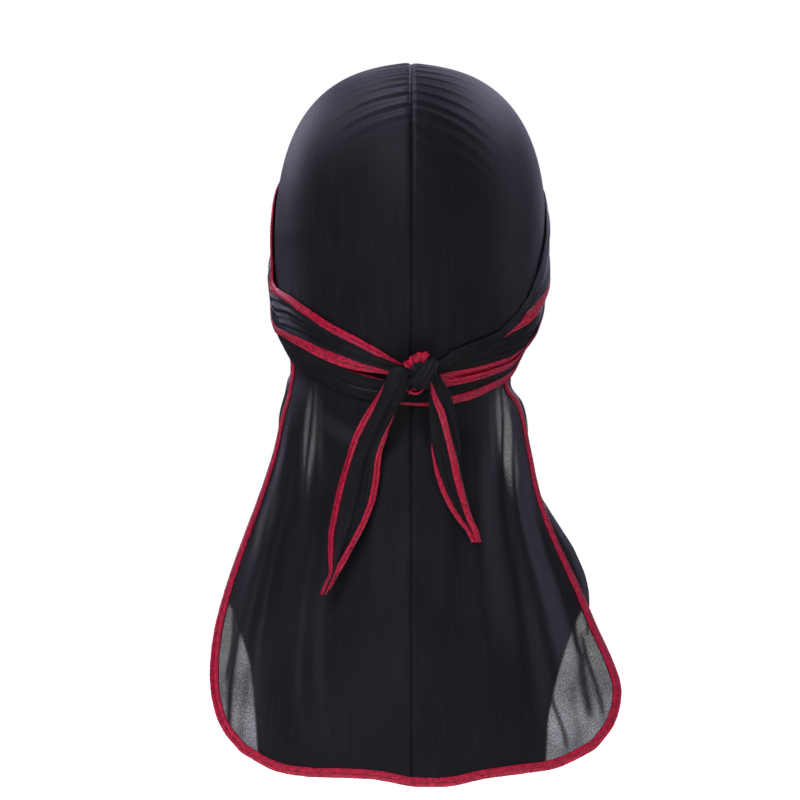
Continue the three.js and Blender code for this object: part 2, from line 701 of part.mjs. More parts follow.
// The tape of the front edge, from temple to temple
function browTapeStations() {
  const half = (side) => {
    const places = [];
    for (let j = 0; j < panelColumns; j += 1) places.push([1 - j / panelColumns, 0]);
    return edgeStations(side, places, 1);
  };
  const normal = panelNormal(1, 0, 0);
  normal.x = 0;
  normal.normalize();
  const outward = vector(1, 0, 0).cross(normal).normalize();
  if (outward.z > 0) outward.negate();
  const middle = panelPoint(1, 0, 0);
  middle.x = 0;
  middle.addScaledVector(normal, satinThickness / 2).addScaledVector(outward, clearance + tapeWidth / 2);
  const centre = { point: middle, across: outward, through: normal };
  return [...half(-1), centre, ...half(1).reverse()];
}

// The innermost turn of a tie lies over the panel and its tape
const tieLift = (satinThickness + tapeThickness) / 2 + clearance * 2;

// A place on a tie: turn along its route, height from the rim's plane, and lift from the head
function tiePoint(side, turn, height, lift) {
  const aheadStep = 0.02;
  const at = side * turn * degrees;
  const ahead = rimPoint(at + aheadStep);
  const behind = rimPoint(at - aheadStep);
  const middle = rimPoint(at);
  const normal = headNormal(at, middle.z);
  const up = normal.clone().cross(ahead.sub(behind).normalize()).normalize();
  if (up.z < 0) up.negate();
  const moved = middle.addScaledVector(up, height);
  return onHead(moved, lift);
}

// A tape is narrower than its own width where the tie is narrow
function tieState(side, turn) {
  const tapeShare = 0.3;
  const route = tieRoutes[side > 0 ? "right" : "left"];
  const read = (column) => readTable(route, "turn", column, turn);
  return {
    lift: tieLift + (read("layer") - 1) * layerPitch,
    low: read("low") * tieWidth,
    high: read("high") * tieWidth,
    lowTape: read("lowTape"),
    highTape: read("highTape"),
    tape: Math.min(tieTapeWidth, (read("high") - read("low")) * tieWidth * tapeShare),
  };
}

function tieTurns(side) {
  const route = tieRoutes[side > 0 ? "right" : "left"];
  const first = route[0].turn;
  const last = route[route.length - 1].turn;
  const steps = Math.round((first - last) / tieStep);
  return Array.from({ length: steps + 1 }, (_, i) => lerp(first, last, i / steps));
}

// A tape gets narrower where it starts to roll inside the fold, and there it ends
const tapeEnd = 0.3;

function tapeInset(state, edge) {
  const showing = state[`${edge}Tape`];
  return state.tape * showing + clearance * Math.min(1, showing / tapeEnd);
}

// Across the cloth of a tie: a share from its lower to its upper edge, and a share of the pleat
const tiePleats = [
  [0, 0],
  [0.3, 1],
  [0.66, 0.2],
  [1, 0],
];

// The cloth of a tie is a band with one long pleat, between its two tapes
function tieGeometry(side) {
  const rings = tieTurns(side).map((turn) => {
    const state = tieState(side, turn);
    const low = state.low + tapeInset(state, "low");
    const high = state.high - tapeInset(state, "high");
    const outer = tiePleats.map(([share, rise]) => [lerp(low, high, share), tieThickness + rise * tiePleat]);
    const inner = tiePleats.map(([share, rise]) => [lerp(low, high, share), rise * tiePleat]).reverse();
    return [...outer, ...inner].map(([height, lift]) => tiePoint(side, turn, height, state.lift + lift));
  });
  return solidFromRings(rings);
}

// The stretches of a tie's edge where its tape shows
function tapeStretches(side, edge) {
  const stretches = [];
  let current = null;
  for (const turn of tieTurns(side)) {
    if (tieState(side, turn)[`${edge}Tape`] < tapeEnd) current = null;
    else if (current) current.push(turn);
    else stretches.push((current = [turn]));
  }
  return stretches;
}

function tieTapeGeometry(side, edge, stretch = 0) {
  const rings = tapeStretches(side, edge)[stretch].map((turn) => {
    const state = tieState(side, turn);
    const width = state.tape * state[`${edge}Tape`];
    const outerEdge = edge === "low" ? state.low : state.high;
    const innerEdge = outerEdge + (edge === "low" ? width : -width);
    return [
      [outerEdge, 0],
      [innerEdge, 0],
      [innerEdge, tieTapeThickness],
      [outerEdge, tieTapeThickness],
    ].map(([height, lift]) => tiePoint(side, turn, height, state.lift + lift));
  });
  return solidFromRings(rings);
}

// The knot lies on the ties where they cross at the nape
const knotSeat = tieLift + layerPitch + tieTapeThickness + 2 * clearance;
const knotCentre = vector(
  knotShift,
  -(headSection(napeDrop - knotRise).back + knotSeat + knotWrapThickness + knotDepth / 2),
  -napeDrop + knotRise,
);
const wrapDown = vector(-Math.sin(knotTilt * degrees), 0, -Math.cos(knotTilt * degrees));
const wrapSide = vector(Math.cos(knotTilt * degrees), 0, -Math.sin(knotTilt * degrees));
const wrapOut = vector(0, -1, 0);

function knotPoint(side, down, out) {
  return knotCentre
    .clone()
    .addScaledVector(wrapSide, side)
    .addScaledVector(wrapDown, down)
    .addScaledVector(wrapOut, out);
}

// The bundle of cloth inside the knot
function knotCoreGeometry() {
  const rings = [];
  const ringCount = 9;
  const sides = 12;
  for (let i = 0; i <= ringCount; i += 1) {
    const along = -1 + (2 * i) / ringCount;
    const thick = Math.sqrt(Math.max(0.12, 1 - Math.abs(along) ** 2.4));
    rings.push(
      Array.from({ length: sides }, (_, j) => {
        const angle = (2 * Math.PI * j) / sides;
        return knotPoint(
          (along * knotLength) / 2,
          (Math.cos(angle) * thick * (knotHeight - 2 * knotWrapThickness - 2 * clearance)) / 2,
          (Math.sin(angle) * thick * (knotDepth - 2 * clearance)) / 2,
        );
      }),
    );
  }
  return solidFromRings(rings);
}

// The turn of tie that goes round the bundle, as a closed band with rounded edges
function knotWrapGeometry() {
  const sides = 24;
  const section = [
    [-0.5, 0.1],
    [-0.36, 0.0],
    [0.36, 0.0],
    [0.5, 0.1],
    [0.42, 0.75],
    [0.12, 1.0],
    [-0.12, 0.86],
    [-0.42, 0.75],
  ];
  const positions = [];
  const faces = [];
  for (let i = 0; i < sides; i += 1) {
    const angle = (2 * Math.PI * i) / sides;
    for (const [a, t] of section) {
      const down = Math.cos(angle) * (knotHeight / 2 - knotWrapThickness + t * knotWrapThickness);
      const out = Math.sin(angle) * (knotDepth / 2 + t * knotWrapThickness);
      const p = knotPoint(a * knotWrapWidth, down, out);
      positions.push(p.x, p.y, p.z);
    }
  }
  const n = section.length;
  for (let i = 0; i < sides; i += 1) {
    for (let j = 0; j < n; j += 1) {
      const a = i * n + j;
      const b = i * n + ((j + 1) % n);
      const c = ((i + 1) % sides) * n + j;
      const d = ((i + 1) % sides) * n + ((j + 1) % n);
      faces.push(a, b, c, b, d, c);
    }
  }
  return orientedGeometry(positions, faces);
}

// A free end hangs from the knot against the tail, pleated lengthwise into three folds
function endLine(side) {
  const fallFrom = 0.14; // shares of its length between which it falls back to the tail
  const fallBy = 0.5;
  const rows = tieEnds[side > 0 ? "right" : "left"];
  const length = side > 0 ? rightEndLength : leftEndLength;
  return rows.map((row) => {
    const z = knotCentre.z - row.down * length;
    const x = row.across * length;
    const down = (-napeDrop - z) / tailLength;
    const tail = tailDepth(Math.max(0, down), x) - foldHeight - satinThickness;
    const fallen = smoothstep(fallFrom, fallBy, row.down);
    return vector(x, lerp(knotCentre.y, tail - endPleat - endLift, fallen), z);
  });
}

const endSteps = 14;

function endStations(side) {
  const shareStep = 0.02;
  const line = endLine(side);
  const rows = tieEnds[side > 0 ? "right" : "left"].map((row, i) => ({ ...row, key: i }));
  return Array.from({ length: endSteps + 1 }, (_, i) => {
    const share = i / endSteps;
    const point = through(line, share);
    const direction = through(line, Math.min(1, share + shareStep))
      .sub(through(line, Math.max(0, share - shareStep)))
      .normalize();
    const outward = vector(0, -1, 0).addScaledVector(direction, direction.y).normalize();
    const across = direction.clone().cross(outward).normalize();
    if (across.x < 0) across.negate();
    const width = endWidth * readTable(rows, "key", "width", share * (rows.length - 1));
    return { point, across, through: outward, width };
  });
}

function endTape(width) {
  const tapeShare = 0.34;
  return Math.min(tieTapeWidth, width * tapeShare);
}

function endGeometry(side) {
  const profile = [
    [-0.5, 0.0],
    [-0.28, 0.15],
    [0.0, 1.0],
    [0.24, 0.9],
    [0.36, 0.1],
    [0.5, 0.0],
  ];
  const rings = endStations(side).map(({ point, across, through: outward, width }) => {
    const cloth = width - 2 * (endTape(width) + clearance);
    const pleat = endPleat * Math.min(1, cloth / (endWidth * 0.5));
    const front = profile.map(([a, t]) => [a * cloth, t * pleat + tieThickness]);
    const back = profile.map(([a, t]) => [a * cloth, t * pleat]).reverse();
    return [...front, ...back].map(([a, t]) =>
      point.clone().addScaledVector(across, a).addScaledVector(outward, t),
    );
  });
  return solidFromRings(rings);
}

function endTapeGeometry(side, edge) {
  const stations = endStations(side).map(({ point, across, through: outward, width }) => {
    const cloth = width - 2 * (endTape(width) + clearance);
    const tape = endTape(width);
    const shift = edge * (cloth / 2 + clearance + tape / 2);
    return {
      point: point
        .clone()
        .addScaledVector(across, shift)
        .addScaledVector(outward, tieTapeThickness / 2),
      across: across.clone().multiplyScalar(tape / tieTapeWidth),
      through: outward,
    };
  });
  return tapeGeometry(stations, flatSection, tieTapeWidth, tieTapeThickness);
}

// Materials
const blackSatin = new THREE.MeshStandardMaterial({
  color: 0x1c1b1f,
  roughness: 0.42,
  metalness: 0,
  side: THREE.DoubleSide,
});
const crimsonSatin = new THREE.MeshStandardMaterial({
  color: 0xa81238,
  roughness: 0.36,
  metalness: 0,
});

const durag = new THREE.Group();

function add(name, geometry, material) {
  const mesh = new THREE.Mesh(geometry, material);
  mesh.name = name;
  durag.add(mesh);
}

for (const [name, side] of [
  ["left", -1],
  ["right", 1],
]) {
  add(`${name}_panel`, panelGeometry(side), blackSatin);
  add(`${name}_tie`, tieGeometry(side), blackSatin);
  add(`${name}_tie_end`, endGeometry(side), blackSatin);
  add(`${name}_end_outer_tape`, endTapeGeometry(side, side), crimsonSatin);
  add(`${name}_end_inner_tape`, endTapeGeometry(side, -side), crimsonSatin);
}
add("tail_tape", tapeGeometry(tailTapeStations(), boundSection, tapeWidth, tapeThickness), crimsonSatin);
add("brow_tape", tapeGeometry(browTapeStations(), boundSection, tapeWidth, tapeThickness), crimsonSatin);
add("left_tie_upper_tape", tieTapeGeometry(-1, "high"), crimsonSatin);
add("left_tie_lower_tape", tieTapeGeometry(-1, "low"), crimsonSatin);
add("right_tie_upper_tape", tieTapeGeometry(1, "high"), crimsonSatin);
add("right_tie_lower_tape", tieTapeGeometry(1, "low"), crimsonSatin);
add("right_tie_return_tape", tieTapeGeometry(1, "low", 1), crimsonSatin);
add("knot_bundle", knotCoreGeometry(), blackSatin);
add("knot_wrap", knotWrapGeometry(), blackSatin);

export default durag;
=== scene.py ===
# %% [markdown]
# A durag of black satin, bound in crimson
#
# A durag is a head wrap. Two long panels of thin satin are sewn together along the middle of the
# head, from the brow over the crown and down the tail. A narrow tape is folded over every raw
# edge, and two long ties run round the head and knot at the nape. This lesson dresses the packed
# model of one: the solids give the sizes and places, and the cloth, folds, tape and stitches are
# made here. All lengths are worked out in millimetres and turned to metres as each mesh is made.

# %% Load the frame
import math

import bmesh
import bpy
import numpy as np
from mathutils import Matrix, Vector


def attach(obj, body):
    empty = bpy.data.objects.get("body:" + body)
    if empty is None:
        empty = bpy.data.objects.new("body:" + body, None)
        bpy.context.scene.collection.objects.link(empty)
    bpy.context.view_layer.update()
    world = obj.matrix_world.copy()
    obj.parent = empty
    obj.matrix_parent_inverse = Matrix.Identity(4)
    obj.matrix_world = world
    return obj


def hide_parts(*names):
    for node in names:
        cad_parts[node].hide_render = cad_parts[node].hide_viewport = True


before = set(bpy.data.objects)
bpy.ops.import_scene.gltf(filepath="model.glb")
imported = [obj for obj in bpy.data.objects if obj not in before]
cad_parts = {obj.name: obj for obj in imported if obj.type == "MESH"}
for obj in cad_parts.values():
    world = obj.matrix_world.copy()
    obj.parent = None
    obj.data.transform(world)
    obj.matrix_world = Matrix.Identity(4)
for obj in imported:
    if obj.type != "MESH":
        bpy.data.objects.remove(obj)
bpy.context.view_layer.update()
MM = 0.001

# %% [markdown]
# The camera looks at the back of the head
#
# The knot and the tail are at the back, so the camera stands behind the wearer, a little above
# the middle of the wrap. It is far away with a long lens, as product pictures are taken, so that
# near and far parts of the cloth keep their true proportions.

# %% Camera
PHOTO_SCALE = 0.58 * MM  # metres to a pixel, at the distance of the target
IMAGE_SIZE = 800
CAMERA_TARGET = Vector((-6.4, 0.0, -192.0)) * MM
CAMERA_DISTANCE = 2.4
CAMERA_RISE = math.radians(2.5)

lens_data = bpy.data.cameras.new("camera")
lens_data.sensor_width = 36.0
lens_data.lens = lens_data.sensor_width * CAMERA_DISTANCE / (PHOTO_SCALE * IMAGE_SIZE)
lens_data.clip_end = 50.0
camera = bpy.data.objects.new("camera", lens_data)
bpy.context.scene.collection.objects.link(camera)
camera_side = Vector((0, -math.cos(CAMERA_RISE), math.sin(CAMERA_RISE)))
camera.location = CAMERA_TARGET + CAMERA_DISTANCE * camera_side
camera.rotation_euler = (CAMERA_TARGET - camera.location).to_track_quat("-Z", "Y").to_euler()
bpy.context.scene.camera = camera
print("lens", round(lens_data.lens, 1), "mm")

# %% [markdown]
# Sizes that the cloth follows
#
# The satin is stretched over a head, so the whole wrap is worked out from a head form: its
# breadth, its length and the drop to its widest level and to the rim. These are the same sizes
# that the solids were built from, so that each piece of cloth lies where its solid is.

# %% Sizes
HEAD_WIDTH = 153.0
HEAD_LENGTH = 189.0
WIDEST_DROP = 95.0
RIM_DROP = 132.0
NAPE_DROP = 184.0
CROWN_ROUNDNESS = 2.45
PLAN_ROUNDNESS = 2.15

SOLID_WALL = 1.2  # the panels' thickness in the solid model
CLOTH = 0.45  # thickness of the satin as it is drawn here, with both of its faces
SEAM_RIDGE_HEIGHT = 2.2
SEAM_RIDGE_WIDTH = 17.0

BROW_DIP = 9.0
SIDE_DIP = 6.5
TEMPLE_ANGLE = 56.0
EAR_ANGLE = 74.0
TAIL_LENGTH = 218.0
TAIL_HALF_WIDTH = 115.0
TAIL_SWING = 15.0
NECK_WRAP = 48.0
TAIL_WRAP = 32.0
FOLD_HEIGHT = 4.2
HELD_DEPTH = 22.0
LEFT_HELD_DEPTH = 12.0


# A table of named columns, for sizes that change along a piece
def table(columns, rows):
    return dict(zip(columns.split(), np.array(rows, float).T))


LOWER_HEAD = table("drop width back front lean", [
    (0.516, 1.0, 1.0, 1.0, 0.0),
    (0.65, 0.975, 0.995, 1.0, 0.0),
    (0.755, 0.95, 0.963, 1.0, -0.002),
    (0.81, 0.925, 0.931, 0.99, -0.008),
    (0.853, 0.892, 0.897, 0.98, -0.016),
    (0.902, 0.852, 0.855, 0.97, -0.024),
    (0.951, 0.82, 0.815, 0.96, -0.03),
    (1.0, 0.802, 0.782, 0.95, -0.032),
    (1.09, 0.797, 0.757, 0.95, -0.032),
])
print("head form", HEAD_WIDTH, "x", HEAD_LENGTH, "mm,", len(LOWER_HEAD["drop"]), "levels below its widest")

# %% [markdown]
# Reading a table smoothly
#
# A folded edge or a strap is a smooth line, and the tables hold only the few places that shape
# it. Between two rows the value is read from a cubic curve whose slope never changes sign on the
# way, so the line cannot overshoot. Points are kept as arrays, so that one call works out a
# whole sheet at once.

# %% Curves and tables
def lerp(a, b, share):
    return a + (b - a) * share


def smoothstep(start, end, value):
    share = np.clip((np.asarray(value, float) - start) / (end - start), 0.0, 1.0)
    return share * share * (3.0 - 2.0 * share)


def read_table(rows, key, column, at):
    keys, values = rows[key], rows[column]
    if keys[0] > keys[-1]:
        keys, values = keys[::-1], values[::-1]
    at = np.clip(at, keys[0], keys[-1])
    i = np.clip(np.searchsorted(keys, at, side="right") - 1, 0, len(keys) - 2)
    slopes = np.diff(values) / np.diff(keys)
    product = slopes[:-1] * slopes[1:]
    total = slopes[:-1] + slopes[1:]
    inner = np.where(product > 0, 2 * product / np.where(product > 0, total, 1.0), 0.0)
    bends = np.concatenate([slopes[:1], inner, slopes[-1:]])
    span = keys[i + 1] - keys[i]
    s = (at - keys[i]) / span
    s2, s3 = s * s, s * s * s
    rise = (2 * s3 - 3 * s2 + 1) * values[i] + (3 * s2 - 2 * s3) * values[i + 1]
    return rise + (s3 - 2 * s2 + s) * span * bends[i] + (s3 - s2) * span * bends[i + 1]


# A smooth curve through points that are evenly spaced in share
def through(points, share):
    points = np.asarray(points, float)
    last = len(points) - 1
    padded = np.concatenate([[2 * points[0] - points[1]], points, [2 * points[-1] - points[-2]]])
    at = np.clip(np.asarray(share, float) * last, 0.0, last - 1e-9)
    i = np.floor(at).astype(int)
    s = (at - i)[..., None]
    p0, p1, p2, p3 = (padded[i + k] for k in range(4))
    return (
        p0 * (-0.5 * s**3 + s**2 - 0.5 * s)
        + p1 * (1.5 * s**3 - 2.5 * s**2 + 1)
        + p2 * (-1.5 * s**3 + 2 * s**2 + 0.5 * s)
        + p3 * (0.5 * s**3 - 0.5 * s**2)
    )


def unit(v):
    return v / np.maximum(np.linalg.norm(v, axis=-1, keepdims=True), 1e-12)


def stack(x, y, z):
    return np.stack(np.broadcast_arrays(x, y, z), axis=-1)


# %% [markdown]
# The head form
#
# Each level of the head is a rounded oval, and the ovals follow a rounded profile from the top
# down to the widest level, then narrow to the neck by the table. Nothing of the form is shown:
# it only says where cloth that is pulled tight must lie, and which way is outwards there.

# %% Head form
def head_section(drop):
    drop = np.asarray(drop, float)
    rise = np.clip(1 - drop / WIDEST_DROP, 0.0, 1.0)
    spread = (1 - rise**CROWN_ROUNDNESS) ** (1 / CROWN_ROUNDNESS)
    first = LOWER_HEAD["drop"][0]
    share = first + (1 - first) * (drop - WIDEST_DROP) / (NAPE_DROP - WIDEST_DROP)
    upper = drop <= WIDEST_DROP
    read = {c: read_table(LOWER_HEAD, "drop", c, share) for c in ("width", "back", "front", "lean")}
    width, back, front = (np.where(upper, spread, read[c]) for c in ("width", "back", "front"))
    lean = np.where(upper, 0.0, HEAD_WIDTH * read["lean"])
    return HEAD_WIDTH / 2 * width, HEAD_LENGTH / 2 * back, HEAD_LENGTH / 2 * front, lean


def section_radius(side, back, front, turn):
    along = np.cos(turn)
    reach = np.where(along > 0, back, front)
    total = (np.abs(np.sin(turn)) / np.maximum(side, 1e-6)) ** PLAN_ROUNDNESS
    total = total + (np.abs(along) / np.maximum(reach, 1e-6)) ** PLAN_ROUNDNESS
    return total ** (-1 / PLAN_ROUNDNESS)


# A point of the head at a turn from the nape, towards +X, and at a height
def head_point(turn, z):
    side, back, front, lean = head_section(-np.asarray(z, float))
    r = section_radius(side, back, front, turn)
    return stack(lean + r * np.sin(turn), -r * np.cos(turn), z)


def head_normal(turn, z):
    around = head_point(turn + 0.01, z) - head_point(turn - 0.01, z)
    up = head_point(turn, z + 0.5) - head_point(turn, z - 0.5)
    return unit(np.cross(around, up))


# The point of the head level with p, raised along the head's normal
def on_head(p, lift):
    turn = np.arctan2(p[..., 0] - head_section(-p[..., 2])[3], -p[..., 1])
    return head_point(turn, p[..., 2]) + head_normal(turn, p[..., 2]) * np.asarray(lift)[..., None]


# The satin runs over the tops of the ears, which lift it by this much, in mm
EAR_LIFTS = {-1: 3.0, 1: 1.8}
EAR_PLACE = 94.0  # degrees from the nape
EAR_SPREAD = 24.0  # degrees
EAR_ABOVE = 16.0  # mm above the rim
EAR_HEIGHT = 27.0  # mm


def ear_lift(p):
    turn = np.degrees(np.arctan2(p[..., 0], -p[..., 1]))
    above = (p - RIM_CENTRE) @ RIM_UP
    rise = np.exp(-(((above - EAR_ABOVE) / EAR_HEIGHT) ** 2))
    near = {side: np.exp(-(((side * turn - EAR_PLACE) / EAR_SPREAD) ** 2)) for side in EAR_LIFTS}
    return sum(lift * near[side] for side, lift in EAR_LIFTS.items()) * rise


NAPE_BACK = float(head_section(NAPE_DROP)[1])
NECK_LEAN = float(head_section(NAPE_DROP)[3])
RIM_SLOPE = (NAPE_DROP - RIM_DROP) / NAPE_BACK
RIM_CENTRE = np.array([0.0, 0.0, -RIM_DROP])
RIM_FORWARD = unit(np.array([0.0, 1.0, RIM_SLOPE]))
RIM_UP = unit(np.array([0.0, -RIM_SLOPE, 1.0]))


# The rim is where a plane from the nape up to the brow cuts the head
def rim_point(turn):
    z = np.full(np.shape(turn), -RIM_DROP)
    for _ in range(40):
        z = lerp(z, -RIM_DROP + RIM_SLOPE * head_point(turn, z)[..., 1], 0.6)
    return head_point(turn, z)


# Where a ray from the middle of the rim's plane meets the head
def head_along(direction):
    near = np.zeros(direction.shape[:-1])
    far = np.full(direction.shape[:-1], HEAD_LENGTH)
    for _ in range(32):
        middle = (near + far) / 2
        p = RIM_CENTRE + direction * middle[..., None]
        side, back, front, lean = head_section(-p[..., 2])
        x = p[..., 0] - lean
        reach = section_radius(side, back, front, np.arctan2(x, -p[..., 1]))
        inside = (p[..., 2] < 0) & (np.hypot(x, p[..., 1]) < reach)
        near = np.where(inside, middle, near)
        far = np.where(inside, far, middle)
    return RIM_CENTRE + direction * near[..., None]


print("nape", round(NAPE_BACK, 1), "mm behind the middle, rim slope", round(RIM_SLOPE, 3))

# %% [markdown]
# Colours and nodes
#
# Colours are written as they would be picked from a screen, as hex values. Blender mixes light in
# linear values, so one function turns them. A second small function adds a node to a material
# with its settings and links. The others name what the recipes below do again and again: a noise
# that is stretched along the threads, a sum, a change of range, a mix of two colours, a relief.

# %% Colour and node helpers
def linear(hex_colour):
    parts = [int(hex_colour[i : i + 2], 16) / 255 for i in (1, 3, 5)]
    return tuple(c / 12.92 if c <= 0.04045 else ((c + 0.055) / 1.055) ** 2.4 for c in parts) + (1.0,)


def add_node(tree, kind, inputs=None, **settings):
    node = tree.nodes.new(kind)
    for name, value in settings.items():
        setattr(node, name, value)
    for name, value in (inputs or {}).items():
        if isinstance(value, bpy.types.NodeSocket):
            tree.links.new(value, node.inputs[name])
        else:
            node.inputs[name].default_value = value
    return node


def new_material(name):
    material = bpy.data.materials.new(name)
    material.use_nodes = True
    material.node_tree.nodes.clear()
    return material, material.node_tree


# A noise over the cloth, whose grain is so many mm across and along the threads
def cloth_noise(tree, cloth, across, along, detail, turn=0.0):
    place = add_node(tree, "ShaderNodeMapping", {
        "Vector": cloth.outputs["UV"],
        "Rotation": (0.0, 0.0, math.radians(turn)),
        "Scale": (1 / (across * MM), 1 / (along * MM), 1.0),
    })
    noise = add_node(tree, "ShaderNodeTexNoise", {
        "Vector": place.outputs["Vector"], "Scale": 1.0, "Detail": detail,
    })
    return noise.outputs["Fac"]


def calculate(tree, operation, first, second):
    return add_node(tree, "ShaderNodeMath", {0: first, 1: second}, operation=operation).outputs["Value"]


# Turns a value between low and high to one between start and end
def rescale(tree, value, low, high, start=0.0, end=1.0):
    node = add_node(tree, "ShaderNodeMapRange", {
        "Value": value, "From Min": low, "From Max": high, "To Min": start, "To Max": end,
    })
    return node.outputs["Result"]


def mix_colours(tree, share, first, second):
    node = add_node(tree, "ShaderNodeMix", {
        "Factor": share, "A": linear(first), "B": linear(second),
    }, data_type="RGBA")
    return node.outputs["Result"]


def bump_normal(tree, height, strength, depth):
    node = add_node(tree, "ShaderNodeBump", {
        "Height": height, "Strength": strength, "Distance": depth * MM,
    })
    return node.outputs["Normal"]


def finish_surface(tree, inputs):
    surface = add_node(tree, "ShaderNodeBsdfPrincipled", inputs)
    add_node(tree, "ShaderNodeOutputMaterial", {"Surface": surface.outputs["BSDF"]})


print("crimson in linear light", [round(c, 3) for c in linear("#a81238")])

# %% [markdown]
# Black polyester satin
#
# Satin is woven with long floats: each thread passes over four or more others before it dives
# under one, so most of the surface is smooth parallel fibre. To the eye that gives a soft sheen
# that is drawn out across the threads, near black where no lamp is mirrored. The real threads are
# about 0.12 mm apart, too fine for the picture, so they are drawn 0.4 mm apart, with slow streaks
# from uneven yarn over them. The cloth coordinates in the mesh are real millimetres of cloth, so
# the weave keeps its scale and follows the grain of each piece. How much light comes through the
# loose weave is painted: a value at each point lets light through in a few places, and the cloth
# is kept opaque everywhere else, which is painted shade.

# %% Black satin
THREAD_PITCH = 0.4  # mm, drawn three times as coarse as the real yarn
FLOAT_LENGTH = 3.0  # mm that the drawn floats run along the grain
YARN_STREAK = 2.2  # mm between slow changes of the yarn
STREAK_LENGTH = 18 * YARN_STREAK
WEAR_PATCH = (1000 / 28, 1000 / 22)  # mm across and along
OPEN_WEAVE = (0.9, 1.3)  # mm across and along
OPEN_SHARE = (0.2, 0.5)  # least and most light that passes one face of a thin place


def satin_material(name, dark, light, roughness, sheen, painted_see_through):
    material, tree = new_material(name)
    cloth = add_node(tree, "ShaderNodeUVMap", uv_map="cloth")
    grain = add_node(tree, "ShaderNodeTangent", direction_type="UV_MAP", uv_map="cloth")
    weave = cloth_noise(tree, cloth, THREAD_PITCH, FLOAT_LENGTH, 1.0)
    streaks = cloth_noise(tree, cloth, YARN_STREAK, STREAK_LENGTH, 3.0)
    wear = cloth_noise(tree, cloth, *WEAR_PATCH, 4.0)
    tone = rescale(tree, calculate(tree, "MULTIPLY", streaks, wear), 0.12, 0.42)
    inputs = {
        "Base Color": mix_colours(tree, tone, dark, light),
        "Roughness": rescale(tree, weave, 0.3, 0.7, roughness - 0.07, roughness + 0.09),
        "IOR": 1.5,
        "Anisotropic": 0.4,
        "Anisotropic Rotation": 0.25,
        "Tangent": grain.outputs["Tangent"],
        "Normal": bump_normal(tree, weave, 0.5, 0.14),
        "Sheen Weight": sheen,
        "Sheen Roughness": 0.45,
        "Sheen Tint": linear("#8f93b8"),
    }
    # Painted light and shade: the alpha lets light through only where each point's painted value says
    if painted_see_through:
        painted_opening = add_node(tree, "ShaderNodeAttribute", attribute_name="painted_see_through")
        uneven = calculate(tree, "ADD", cloth_noise(tree, cloth, *OPEN_WEAVE, 2.0), wear)
        open_share = rescale(tree, uneven, 0.7, 1.3, *OPEN_SHARE)
        passing = calculate(tree, "MULTIPLY", painted_opening.outputs["Fac"], open_share)
        inputs["Alpha"] = calculate(tree, "SUBTRACT", 1.0, passing)
    finish_surface(tree, inputs)
    return material


black_satin = satin_material("polyester_satin_black", "#17161a", "#1e1d22", 0.52, 0.03, True)
tie_satin = satin_material("polyester_satin_black_folded", "#17171a", "#202023", 0.45, 0.04, False)
print("made", black_satin.name, "and", tie_satin.name)

# %% [markdown]
# Crimson satin tape
#
# The raw edges are covered with a tape of the same weave in crimson, cut on the bias so that it
# bends round corners. It is folded over the edge and sewn through, so it puckers between the
# stitches. On the bias the threads cross the tape at 45 degrees, and its sheen breaks into short
# bright dashes. Its colour is painted: deeper in the hollows of the weave and the puckers, a
# painted shade, and brighter on their ridges, a painted highlight.

# %% Crimson satin
BIAS_PITCH = 0.7  # mm between the drawn threads of the tape
PUCKER_GRAIN = (1000 / 460, 1000 / 300)  # mm across and along


def tape_material(name, painted_hollow_shade, painted_ridge_light, roughness):
    material, tree = new_material(name)
    cloth = add_node(tree, "ShaderNodeUVMap", uv_map="cloth")
    weave = cloth_noise(tree, cloth, BIAS_PITCH, 3 * BIAS_PITCH, 1.5, turn=45)
    puckers = cloth_noise(tree, cloth, *PUCKER_GRAIN, 3.0)
    # Painted shade and highlight: the colour follows the same relief, deep in its hollows, bright on its
    # ridges
    share = rescale(tree, calculate(tree, "ADD", weave, puckers), 0.75, 1.25)
    height = calculate(tree, "ADD", calculate(tree, "MULTIPLY", weave, 0.35), puckers)
    finish_surface(tree, {
        "Base Color": mix_colours(tree, share, painted_hollow_shade, painted_ridge_light),
        "Roughness": rescale(tree, weave, 0.3, 0.7, roughness - 0.06, roughness + 0.08),
        "IOR": 1.5,
        "Normal": bump_normal(tree, height, 0.6, 0.4),
        "Sheen Weight": 0.04,
        "Sheen Roughness": 0.4,
        "Sheen Tint": linear("#ff4f78"),
    })
    return material


crimson_satin = tape_material("polyester_satin_crimson_bias", "#780422", "#c8163f", 0.46)
print("made", crimson_satin.name)

# %% [markdown]
# Sewing thread
#
# Spun polyester thread is matt and a little fuzzy, so a row of stitches reads as small dull dots
# beside the sheen of the satin. Its twist is drawn as fine slanting bands, with the colour
# painted darker in the grooves and lighter on the ridges, a painted shade and highlight.

# %% Thread
THREAD_TWIST = 0.5  # mm from one turn of the twist to the next


def thread_material(name, dark, light):
    material, tree = new_material(name)
    cloth = add_node(tree, "ShaderNodeUVMap", uv_map="cloth")
    along = add_node(tree, "ShaderNodeMapping", {
        "Vector": cloth.outputs["UV"],
        "Rotation": (0.0, 0.0, math.radians(30)),
        "Scale": (1 / (THREAD_TWIST * MM), 1 / (THREAD_TWIST * MM), 1.0),
    })
    twist = add_node(tree, "ShaderNodeTexWave", {
        "Vector": along.outputs["Vector"], "Scale": 0.3, "Distortion": 1.5,
    }).outputs["Fac"]
    # Painted shade and highlight: the colour is darker in the grooves of the twist and lighter on its ridges
    finish_surface(tree, {
        "Base Color": mix_colours(tree, twist, dark, light),
        "Roughness": 0.62,
        "Normal": bump_normal(tree, twist, 0.4, 0.1),
        "Sheen Weight": 0.1,
    })
    return material


black_thread = thread_material("spun_polyester_thread_black", "#050506", "#101014")
crimson_thread = thread_material("spun_polyester_thread_crimson", "#7c0f2e", "#c02a52")
print("made", black_thread.name, "and", crimson_thread.name)

